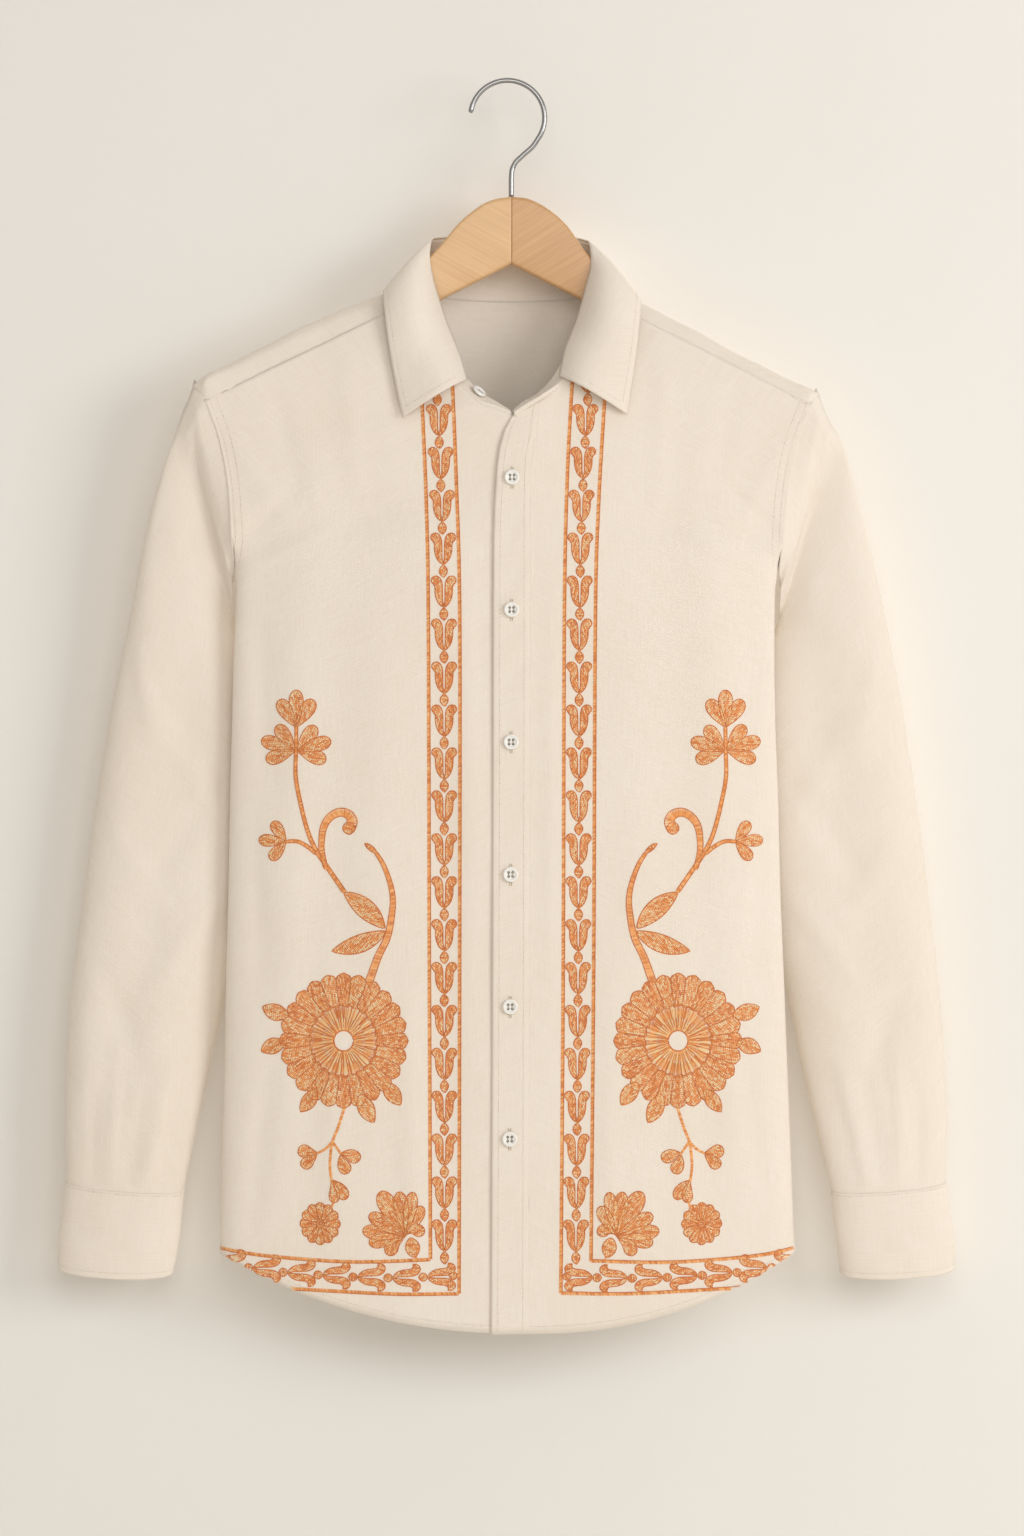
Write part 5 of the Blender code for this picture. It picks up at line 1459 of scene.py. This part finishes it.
def rosette(needle, place, hole, eye, rim, petals):
    """A round flower: rays of satin stitch from the hole to the eye's rim under darker and lighter lines, and
    petals side by side out to the flower's rim."""
    middle = 0.5 * (hole + eye)
    for inner, outer in ((hole, middle), (middle - 0.5, 0.97 * eye)):
        needle.satin(ring_path(place, inner), ring_path(place, outer), tone=0.5, spread=0.42, pitch=0.8,
                     slant=0.0)
    for number in range(petals):
        a = 2 * math.pi * number / petals
        half = math.pi / petals * 1.03
        t = np.linspace(0, 1, 12)
        r = 0.93 * eye + (rim - 0.93 * eye) * np.concatenate([t, t[-2:0:-1]])
        wide = half * np.sqrt(np.clip(1 - np.maximum(t - 0.78, 0) ** 2 / 0.22 ** 2, 0, 1))
        angle = a + np.concatenate([-wide, wide[-2:0:-1]])
        outline = place + np.stack([r * np.cos(angle), FLOWER_TALL * r * np.sin(angle)], axis=-1)
        needle.form(outline, a + 0.15 * (-1) ** number, tone=0.5 + 0.16 * (number % 2), width=0.85)
        for shift, tone, reach in ((0.0, 0.1, 0.96), (0.3, 0.95, 0.82), (0.62, 0.12, 0.9)):
            if eye - hole > 4:
                b = a + shift * 2 * math.pi / petals
                way = np.array((math.cos(b), FLOWER_TALL * math.sin(b)))
                out = np.linspace(hole + 1.6, hole + (eye - hole) * reach, 12)
                needle.rope(place + way * out[:, None], width=0.75, tone=tone)
    needle.rope(ring_path(place, hole, 30), width=1.2, tone=0.12)
    needle.rope(ring_path(place, eye, 80), width=1.2, tone=0.15)


# The two rails of the band on the right front, down from the neck and then along the hem
RAIL_WIDTH = 2.6
RAILS = {
    RIGHT: [
        # down beside the placket, then outwards along the hem
        ([(-41.5, -224), (-38.5, -300), (-35.8, -405), (-35.9, -660), (-36.4, -909.9)],
         [(-36.4, -909.9), (-85.9, -910.1), (-150.4, -907.1), (-172.9, -905.6), (-225, -899)]),
        ([(-64.2, -238), (-60.8, -320), (-59.3, -405), (-58.6, -660), (-57.8, -884.3)],
         [(-57.8, -884.3), (-116.6, -886.1), (-177.4, -882.4), (-215.5, -877), (-232, -874)]),
    ],
    LEFT: [
        ([(48.6, -222), (44.6, -300), (42.4, -405), (41.6, -660), (39.8, -909.5)],
         [(39.8, -909.5), (91, -910.1), (155.6, -907.1), (178, -905.6), (230, -899)]),
        ([(72.8, -236), (68, -320), (65.6, -405), (64.4, -660), (62.4, -885.4)],
         [(62.4, -885.4), (121.8, -886.6), (182.6, -882.8), (217, -877), (237, -874)]),
    ],
}
TULIP_FOOT_Z = -235.7
TULIP_PITCH = 32.12
TULIP_COUNT = 21
HEM_FOOT, HEM_PITCH = 12.4, 26.3
HEM_TULIPS = 7


def band(needle, side):
    """Rails in satin stitch, tulips and beads down the band, and smaller ones turned towards the middle
    along the hem."""
    paths = [[spline(points, 160) for points in rail] for rail in RAILS[side]]
    for rail in paths:
        for path in rail:
            left, right = beside(path, 0.5 * RAIL_WIDTH), beside(path, -0.5 * RAIL_WIDTH)
            needle.satin(left, right, tone=0.42, spread=0.3, pitch=0.85, slant=1.2)
            needle.rope(beside(path, 0.45 * RAIL_WIDTH), width=0.7, tone=0.12)
    down, along = [0.5 * (inner + outer) for inner, outer in zip(*paths)]
    for number in range(TULIP_COUNT):
        z = TULIP_FOOT_Z - TULIP_PITCH * number
        tulip(needle, (np.interp(-z, -down[:, 1], down[:, 0]), z), 0.0, TULIP_HALF)
        bead(needle, (np.interp(5.0 - z, -down[:, 1], down[:, 0]), z - 5.0), 0.0, 6.4, 10.0)
    run = arc_length(along, 0)
    for foot in HEM_FOOT + HEM_PITCH * np.arange(HEM_TULIPS):
        tulip(needle, along_path(along, run, foot), -side * math.pi / 2, HEM_TULIP_HALF)
        bead(needle, along_path(along, run, foot + 3.6), math.pi / 2, 6.4, 7.0, point=0.6)
    bead(needle, (along[0][0] - side * 6.6, along[0][1] + 0.6), math.pi / 2, 6.0, 6.6, point=0.6)


FLOWER = (-122.6, -720.6)
FLOWER_HOLE, FLOWER_EYE, FLOWER_RIM = 7.5, 25.5, 48.5
FLOWER_PETALS = 24
# Stems of the right front's spray: path, then width at its start and its end
STEMS = [
    ([(-158, -484), (-158.2, -503), (-158.6, -521.6), (-155.6, -539.6), (-149.6, -563.6), (-142.9, -578.6),
      (-135.4, -589.9), (-121.9, -609.4)], 2.2, 3),
    ([(-165.6, -571.5), (-157.5, -571.3), (-150, -575), (-142.8, -580.8)], 2.2, 2.6),
    ([(-135.8, -592), (-139, -578.6), (-139, -569.2), (-137.4, -560), (-132.8, -553.1), (-125.4, -549.4),
      (-118.5, -551.4), (-115.8, -556.6), (-117.7, -561.2)], 3.2, 7.6),
    ([(-98.6, -579.4), (-92.9, -588.6), (-88.1, -601.3), (-85.8, -612.8), (-86.2, -624), (-89.6, -642.4),
      (-96.9, -658), (-104, -678)], 2.4, 5.6),
    ([(-121.5, -769), (-127, -786), (-131, -796.2), (-132.6, -807.7), (-132.9, -816), (-131.6, -826)],
     2.4, 2.2),
    ([(-131, -796.2), (-136, -801.5), (-142.6, -805.2)], 2.2, 2),
    ([(-131, -796.2), (-127.6, -801), (-124.6, -805.4)], 2.2, 2),
    ([(-130.4, -841), (-131.6, -845.5)], 1.8, 1.8),
    ([(-68.6, -881.5), (-67.6, -886.5)], 1.6, 1.8),
]
# Pointed leaves of the spray
LEAVES = [
    # base_x, base_z, tip_x, tip_z, width, bend
    (-122.5, -609.5, -91.5, -636.5, 14, 1.5),
    (-131.5, -653.5, -90.5, -638.5, 13, -2),
    (-163, -701.5, -183.6, -695.1, 12, 1.2),
    (-166, -722.5, -184.7, -728.8, 11.6, -1),
    (-142.6, -756.5, -155.2, -774, 10.5, 0.5),
    (-110.5, -760, -100, -782, 12, -0.5),
    (-93, -751.5, -80, -768.8, 11.5, 0.5),
]
# Round-ended petals of the buds and the fan
PETALS = [
    # foot_x, foot_z, tip_x, tip_z, width, bend
    (-142, -805, -156.6, -801.6, 9.6, 1),
    (-142.4, -806.2, -153.2, -816.2, 9, -1),
    (-124.8, -804.8, -111, -810.6, 9.6, 1.6),
    (-124.8, -805.6, -119, -819.6, 9.4, -1.2),
    (-131.7, -825, -130.4, -842, 8, 1.6),
    (-130.9, -825, -121.4, -839.6, 8.6, 1.4),
    (-76, -865.5, -63.4, -866.4, 9, 4.5),
    (-76.3, -866.5, -63.6, -844.6, 9.8, 0),
    (-76.3, -867, -70.6, -833.8, 9.6, 0),
    (-76.3, -867, -81, -833.6, 10.6, 0),
    (-77.5, -868.5, -88.2, -881.6, 10, -3),
    (-76.8, -868, -103.6, -872.6, 10.4, -1),
    (-76.5, -867.5, -108.4, -862.6, 10.8, 0),
    (-76.3, -867, -103.4, -850.6, 10.8, 0),
    (-76.3, -867, -95.4, -833.6, 13.4, 0),
]
# Trefoils of the spray: node, direction clockwise from upwards, length, width of a petal, and spread
TREFOILS = [
    # node_x, node_z, angle, length, width, spread
    (-158.1, -486, 0, 28, 10.6, 0.56),
    (-158.6, -503.2, -1.27, 27, 10.4, 0.62),
    (-157.6, -503.2, 1.29, 26.5, 10.4, 0.62),
    (-165.6, -571.5, -1.51, 20.8, 8.8, 0.9),
]


def spray(needle):
    """The right front's flowers: stems first, then leaves, petals, trefoils and the two round flowers."""
    for points, wide_start, wide_end in STEMS:
        stem(needle, points, wide_start, wide_end)
    bead(needle, (-102.2, -576.4), -0.89, 3.6, 12.0, point=0.6)
    bead(needle, (-118.6, -561.4), 0.0, 9.6, 9.6, point=0.6)
    for draw_one, table in ((leaf, LEAVES), (petal, PETALS)):
        for foot_x, foot_z, tip_x, tip_z, width, bend in table:
            draw_one(needle, (foot_x, foot_z), (tip_x, tip_z), width, bend)
    for node_x, node_z, *form in TREFOILS:
        trefoil(needle, (node_x, node_z), *form)
    bead(needle, (-71.0, -875.4), -0.2, 10.6, 15.6, point=0.7, tone=0.6)
    rosette(needle, (-140.3, -857.8), 1.5, 2.6, 15.4, 12)
    rosette(needle, FLOWER, FLOWER_HOLE, FLOWER_EYE, FLOWER_RIM, FLOWER_PETALS)


def laid_on(name, rows):
    """The flat stitches set on a front: each start, middle and end is dropped along +Y to the cloth, and a
    stitch that misses it, past the hem, is left out."""
    cloth_face = faces_of(name)
    ends = rows[:, :4].reshape(-1, 2, 2)
    spots = np.stack([ends[:, 0], ends.mean(axis=1), ends[:, 1]], axis=1)
    stations = np.full((len(rows), 3, 3), np.nan)
    facing = np.zeros((len(rows), 3, 3))
    for index, (x, z) in enumerate(spots.reshape(-1, 2)):
        hit, normal, _, _ = cloth_face.ray_cast((x, -200.0, z), (0.0, 1.0, 0.0))
        if hit is not None:
            stations.reshape(-1, 3)[index] = hit
            facing.reshape(-1, 3)[index] = normal if normal.y < 0 else -normal
    kept = np.isfinite(stations).all(axis=(1, 2))
    return rows[kept], stations[kept], facing[kept]


thread_colours = ((0.64, 0.165, 0.035), (1.0, 0.43, 0.125), (1.0, 0.84, 0.49))
for side, hand, seed in ((RIGHT, "right", 201), (LEFT, "left", 202)):
    flowers, edging = Needle(seed), Needle(seed + 10)
    spray(flowers)
    flowers = np.concatenate(flowers.rows)
    if side == LEFT:
        flowers[:, [0, 2]] = 2 * MIRROR_X - flowers[:, [0, 2]]
    band(edging, side)
    rows, stations, facing = laid_on(f"shirt_front_{hand}", np.concatenate([flowers] + edging.rows))
    name = f"embroidery_{hand}"
    thread_piece(name, thread_paint(f"{name}_thread", *thread_colours, 0.42), stations, facing,
                 rows[:, 4], rows[:, 5], rows[:, 6])

# The buttonholes: upright slits cut through both layers of the placket, each edged all the way down on both
# sides with close overcast stitches in pale thread.
BUTTON_COUNT = 6
FIRST_BUTTON_X, FIRST_BUTTON_Z = 3.4, -299.0
BUTTON_DRIFT, BUTTON_PITCH = 0.35, 99.0
HOLE_LENGTH = 16.5
OVERCAST_PITCH = 0.5
OVERCAST_WIDTH, OVERCAST_HEIGHT = 0.62, 0.4

hole_rows = []
draw = np.random.default_rng(77)
for number in range(BUTTON_COUNT):
    centre_x = FIRST_BUTTON_X - BUTTON_DRIFT * number
    centre_z = FIRST_BUTTON_Z - BUTTON_PITCH * number
    z = np.arange(-0.5 * HOLE_LENGTH, 0.5 * HOLE_LENGTH, OVERCAST_PITCH) + centre_z
    for out in (-1, 1):
        start = np.stack([np.full_like(z, centre_x + out * 0.15), z], axis=-1)
        end = np.stack([centre_x + out * draw.uniform(1.15, 1.45, len(z)), z], axis=-1)
        hole_rows.append(np.concatenate([start, end, draw.uniform(0.1, 0.7, (len(z), 1))], axis=1))
rows, stations, facing = laid_on("shirt_placket", np.concatenate(hole_rows))
hole_thread = thread_paint("buttonhole_thread", (0.55, 0.45, 0.32), (0.70, 0.61, 0.48), (0.82, 0.74, 0.62))
thread_piece("buttonholes", hole_thread, stations, facing, OVERCAST_WIDTH, OVERCAST_HEIGHT,
             rows[:, 4])

# The buttons: turned discs of off-white shell with a raised rim and four holes, which are dimples darkened
# with painted shade. They are sewn on with pale grey thread, one at each buttonhole, one on the collar stand
# and one behind each cuff.
BUTTON_RADIUS, BUTTON_THICKNESS = 5.75, 2.6
BUTTON_HOLE, HOLE_SPREAD = 0.85, 1.45
COLLAR_BUTTON_LIFT = np.array((0.0, -0.2, 0.3))
CUFF_BUTTON_LIFT = np.array((0.0, 0.2, -12.0))
BUTTON_SIDES = 48
BUTTON_PROFILE = [
    # radius, height, as shares of the button's
    (0, 0.6), (0.1, 0.6), (0.18, 0.6), (0.26, 0.6), (0.34, 0.6), (0.42, 0.6), (0.5, 0.61), (0.58, 0.66),
    (0.66, 0.8), (0.73, 0.94), (0.8, 1), (0.88, 0.98), (0.95, 0.85), (0.99, 0.66), (1, 0.5), (0.97, 0.3),
    (0.9, 0.1), (0.8, 0), (0, 0),
]


def shell_paint():
    """Off-white shell: a slow cloudy noise in its colour; the hole attribute paints dark shade into the holes.
    """
    made, tree, shader = paint("button_shell", {"Roughness": 0.28})
    noise = noise_on(tree, add_node(tree, "TexCoord").outputs["Object"], 260.0)
    cloud = ramp_of(tree, noise, (0.0, (0.80, 0.77, 0.71)), (1.0, (0.93, 0.92, 0.89)))
    hole = add_node(tree, "Attribute", attribute_name="hole").outputs["Fac"]
    # Painted shade: near-black mixed into the colour where the hole attribute marks a hole's dimple
    mix = add_node(tree, "Mix", {"Factor": hole, "A": cloud, "B": (0.10, 0.08, 0.06, 1.0)}, data_type="RGBA")
    tree.links.new(mix.outputs["Result"], shader.inputs["Base Color"])
    return made


def frame_of(normal):
    """Three unit directions: across, along and out of a face with this normal, along being nearest to +Z."""
    out = unit(np.asarray(normal, dtype=float))
    along = unit(np.array((0.0, 0.0, 1.0)) - out * out[2])
    return np.stack([np.cross(along, out), along, out])


def tube(rows, columns):
    """Numbers of the points of a closed tube, a row for each ring, and the quads between its rings."""
    number = np.arange(rows * columns).reshape(rows, columns)
    after = np.roll(number, -1, axis=1)
    quads = np.stack([number[:-1], number[1:], after[1:], after[:-1]], axis=-1).reshape(-1, 4)
    return number, quads


def shell_button(name, node, centre, normal):
    """A disc turned from its profile, with four round dimples pressed through the dish for the holes, marked
    for painted shade.
    """
    profile = np.array(BUTTON_PROFILE) * (BUTTON_RADIUS, BUTTON_THICKNESS)
    a = np.arange(BUTTON_SIDES) * 2 * math.pi / BUTTON_SIDES
    x, y = profile[1:-1, :1] * np.cos(a), profile[1:-1, :1] * np.sin(a)
    high = np.broadcast_to(profile[1:-1, 1:], x.shape).copy()
    off = np.hypot(np.abs(x) - HOLE_SPREAD, np.abs(y) - HOLE_SPREAD)
    top = (np.arange(len(x)) < 8)[:, None]
    dimple = np.clip(1.25 - off / BUTTON_HOLE, 0, 1) * top
    high = high - 1.1 * np.clip(dimple * 2, 0, 1)
    points = np.stack([x, y, high], axis=-1).reshape(-1, 3)
    points = np.concatenate([points, [(0, 0, profile[0, 1]), (0, 0, 0)]])
    face = frame_of(normal)
    points = np.asarray(centre) + face[2] * LAP_GAP + points @ face
    number, quads = tube(len(x), BUTTON_SIDES)
    hub, foot = number.size, number.size + 1
    fans = [(hub, a, b) for a, b in zip(number[0].tolist(), np.roll(number[0], -1).tolist())]
    fans += [(foot, b, a) for a, b in zip(number[-1].tolist(), np.roll(number[-1], -1).tolist())]
    mesh = smooth_mesh(name, points, quads.tolist() + fans, SHELL)
    # The hole attribute: where the material paints shade into the dimples
    shade = mesh.attributes.new("hole", "FLOAT", "POINT")
    shade.data.foreach_set("value", np.append(np.clip(dimple * 3, 0, 1), [0, 0]).astype(np.float32))
    link(name, mesh, [node])
    bars = []
    for x_side in (-1, 1):
        line = np.array([(x_side * HOLE_SPREAD, reach * HOLE_SPREAD, 0.6 * BUTTON_THICKNESS)
                         for reach in (-1.2, 0, 1.2)])
        for shift in (-0.26, 0.05, 0.34):
            bars.append(np.asarray(centre) + face[2] * LAP_GAP + (line + (shift, 0.0, 0.0)) @ face)
    return np.array(bars), np.broadcast_to(face[2], (len(bars), 3, 3))


SHELL = shell_paint()
placket_line = PANELS["shirt_placket"][0][:, 8]
sewn_buttons = []
for number in range(BUTTON_COUNT):
    button_z = FIRST_BUTTON_Z - BUTTON_PITCH * number
    y = float(np.interp(-button_z, -placket_line[:, 2], placket_line[:, 1]))
    place = (FIRST_BUTTON_X - BUTTON_DRIFT * number, y, button_z)
    sewn_buttons.append(shell_button(f"shell_button_{number + 1}", f"button_{number + 1}", place, (0, -1, 0)))
stand = stand_grid(len(NECK), 3)
stand_normal = np.cross(stand[2, 3] - stand[2, 1], stand[3, 2] - stand[2, 2])
collar_place = 0.75 * stand[2, 2] + 0.25 * stand[3, 2] + COLLAR_BUTTON_LIFT
sewn_buttons.append(shell_button("shell_button_collar", "button_collar", collar_place, stand_normal))
for side, name in ((RIGHT, "cuff_right"), (LEFT, "cuff_left")):
    place = cuff_grid(side, 4)[1, 3] + CUFF_BUTTON_LIFT
    sewn_buttons.append(shell_button(f"shell_button_{name}", f"button_{name}", place, (0, 1, 0)))
stations, facing = (np.concatenate(part) for part in zip(*sewn_buttons))
tones = np.random.default_rng(9).uniform(0, 1, len(stations))
grey_thread = thread_paint("button_thread", (0.46, 0.40, 0.32), (0.56, 0.50, 0.41), (0.66, 0.60, 0.51))
thread_piece("button_thread", grey_thread, stations, facing, 0.42, 0.34, tones)

# The hanger's wood: two flat halves of pale hardwood sawn to a curve, rounded along their edges, glued at a
# seam in the middle and varnished. The right half is painted in a lit copy of the wood and the left half in a
# darker copy: painted light and painted shade for how each half faces the light.
WOOD_SEAM_X = 2.75
WOOD_THICKNESS = 12.0
WOOD_TIP_FORWARD = 19.0
WOOD_REACH = 216.0
WOOD_ROUND = 3.0
WOOD_CLEARANCE = 0.7
SHOULDER_DISTANCE = 60.0
# The wood of the hanger, by the distance from its centre seam
WOOD = [
    # distance, right_top, right_bottom, left_top, left_bottom
    (0.15, -86, -136.9, -86, -136.9),
    (10.3, -87.4, -142.1, -86.9, -142.1),
    (20, -90.8, -147.1, -90.5, -147.1),
    (28.3, -96.4, -151.3, -95.5, -151.3),
    (36, -102.6, -155.2, -101.5, -155.2),
    (43, -109.9, -158.7, -108.8, -158.7),
    (49, -117.4, -161.8, -117.2, -161.8),
    (54, -123.4, -164.6, -124.8, -164.6),
    (60.8, -130.2, -168.3, -132.8, -168.3),
    (78, -147.2, -177, -149.8, -177),
    (96, -162.3, -187, -168.4, -189),
    (143, -181.8, -211, -192.4, -216),
    (183, -201.3, -231.5, -213.9, -239),
    (209, -215.2, -244.5, -226.4, -252),
    (216, -221.5, -240.5, -233.5, -248),
]


def wood_paint(name, pale, dark, slope):
    """Varnished wood: long noise streaks along the arm, which slopes by an angle, over a slow noise."""
    made, tree, shader = paint(name, {"Roughness": 0.36, "Coat Weight": 0.25, "Coat Roughness": 0.25})
    place = add_node(tree, "TexCoord").outputs["Object"]
    turned = add_node(tree, "Mapping", {"Vector": place, "Rotation": (0.0, slope, 0.0)}).outputs["Vector"]
    streak = add_node(tree, "Mapping", {"Vector": turned, "Scale": (14.0, 260.0, 900.0)}).outputs["Vector"]
    grain = noise_on(tree, streak, 1.0, detail=5.0, distortion=0.4)
    blend = shared(tree, grain, noise_on(tree, turned, 30.0), 0.8)
    tree.links.new(ramp_of(tree, blend, (0.2, dark), (0.7, pale)), shader.inputs["Base Color"])
    add_bump(tree, shader, grain, 0.12, 0.0004)
    return made


def wood_half(name, node, side, finish):
    """A rounded oblong section, four quarter circles joined by flats, carried from the seam to the tip."""
    table = smooth(WOOD, 110)
    distance = table[:, 0]
    top = table[:, 1] if side == RIGHT else table[:, 3]
    bottom = table[:, 2] if side == RIGHT else table[:, 4]
    top = top - WOOD_CLEARANCE * np.clip((distance - SHOULDER_DISTANCE) / 8.0, 0, 1)
    forward = -WOOD_TIP_FORWARD * (distance / WOOD_REACH) ** 2
    half = 0.5 * WOOD_THICKNESS - (distance / WOOD_REACH) ** 2
    quarter = np.linspace(0, 0.5 * math.pi, 7)
    y, z = [], []
    for number, (sign_y, level) in enumerate(((1, top - WOOD_ROUND), (-1, top - WOOD_ROUND),
                                              (-1, bottom + WOOD_ROUND), (1, bottom + WOOD_ROUND))):
        turn = quarter + 0.5 * number * math.pi
        y.append((forward + sign_y * (half - WOOD_ROUND))[:, None] + WOOD_ROUND * np.cos(turn))
        z.append(level[:, None] + WOOD_ROUND * np.sin(turn))
    y, z = np.concatenate(y, axis=1), np.concatenate(z, axis=1)
    distance = np.where(np.arange(len(distance)) == 0, 0.03, distance)
    x = np.broadcast_to(WOOD_SEAM_X + side * distance[:, None], y.shape)
    points = np.stack([x, y, z], axis=-1)
    number, quads = tube(*y.shape)
    ends = [number[0].tolist(), number[-1][::-1].tolist()]
    if side == RIGHT:
        quads = quads[:, ::-1]
        ends = [face[::-1] for face in ends]
    mesh = smooth_mesh(name, points, quads.tolist() + ends, finish)
    for face in list(mesh.polygons)[-2:]:
        face.use_smooth = False
    link(name, mesh, [node])


# Lit and shaded copies of one wood: the paler right half is painted light, the darker left half painted shade
wood_half("hanger_wood_right", "hanger_arm_right", RIGHT,
          wood_paint("wood_lit_side", (0.76, 0.49, 0.245), (0.61, 0.345, 0.15), -0.5))
wood_half("hanger_wood_left", "hanger_arm_left", LEFT,
          wood_paint("wood_shaded_side", (0.66, 0.385, 0.175), (0.50, 0.26, 0.105), 0.55))

# The hook: round polished steel wire bent to an open arc with a rounded tip, and a straight shank below it
# that screws into the wood at the seam.
HOOK_WIRE = 4.0
HOOK_RADIUS = 28.0
WIRE_SIDES = 20
# The x and z of the wire below the hook's arc, down to the wood
HOOK_BEND = [(19.0, -47.8), (11.5, -54.6), (5.6, -60.6), (3.2, -67.0), (2.85, -75.0), (2.85, -85.6)]


def steel_paint():
    """Polished drawn steel with faint smears in its roughness."""
    made, tree, shader = paint("hook_steel", {"Metallic": 1.0, "Base Color": (0.34, 0.335, 0.33, 1.0)})
    noise = noise_on(tree, add_node(tree, "TexCoord").outputs["Object"], 120.0)
    rough = maths(tree, "ADD", maths(tree, "MULTIPLY", noise, 0.16), 0.14)
    tree.links.new(rough, shader.inputs["Roughness"])
    return made


def wire_hook():
    """A round section carried along the hook's path in the X-Z plane, with its tip rounded off."""
    angles = np.radians(np.linspace(169.0, -30.0, 70))
    centre = (0.0, 0.5 * HOOK_WIRE - HOOK_RADIUS)
    arc = centre + HOOK_RADIUS * np.stack([np.cos(angles), np.sin(angles)], axis=-1)
    path = np.concatenate([arc[:-1], smooth([tuple(arc[-1]), *HOOK_BEND], 50)])
    radius = np.full(len(path), 0.5 * HOOK_WIRE)
    ahead = unit(np.gradient(path, axis=0))
    cap = np.array((0.38, 0.71, 0.92, 1.0))
    reach = 0.5 * HOOK_WIRE * np.sqrt(1 - cap ** 2)
    path = np.concatenate([path[0] - ahead[0] * reach[:, None], path[1:]])
    ahead = np.concatenate([np.repeat(ahead[:1], len(cap), axis=0), ahead[1:]])
    radius = np.concatenate([radius[0] * cap, radius[1:]])[:, None]
    a = np.arange(WIRE_SIDES) * 2 * math.pi / WIRE_SIDES
    aside = left_of(ahead)
    x = path[:, :1] + radius * np.cos(a) * aside[:, :1]
    z = path[:, 1:] + radius * np.cos(a) * aside[:, 1:]
    number, quads = tube(*x.shape)
    ends = [number[0].tolist(), number[-1][::-1].tolist()]
    points = np.stack([x, radius * np.sin(a) * np.ones_like(x), z], axis=-1)
    mesh = smooth_mesh("steel_hook", points, quads.tolist() + ends, steel_paint())
    link("steel_hook", mesh, ["hanger_hook"])


wire_hook()
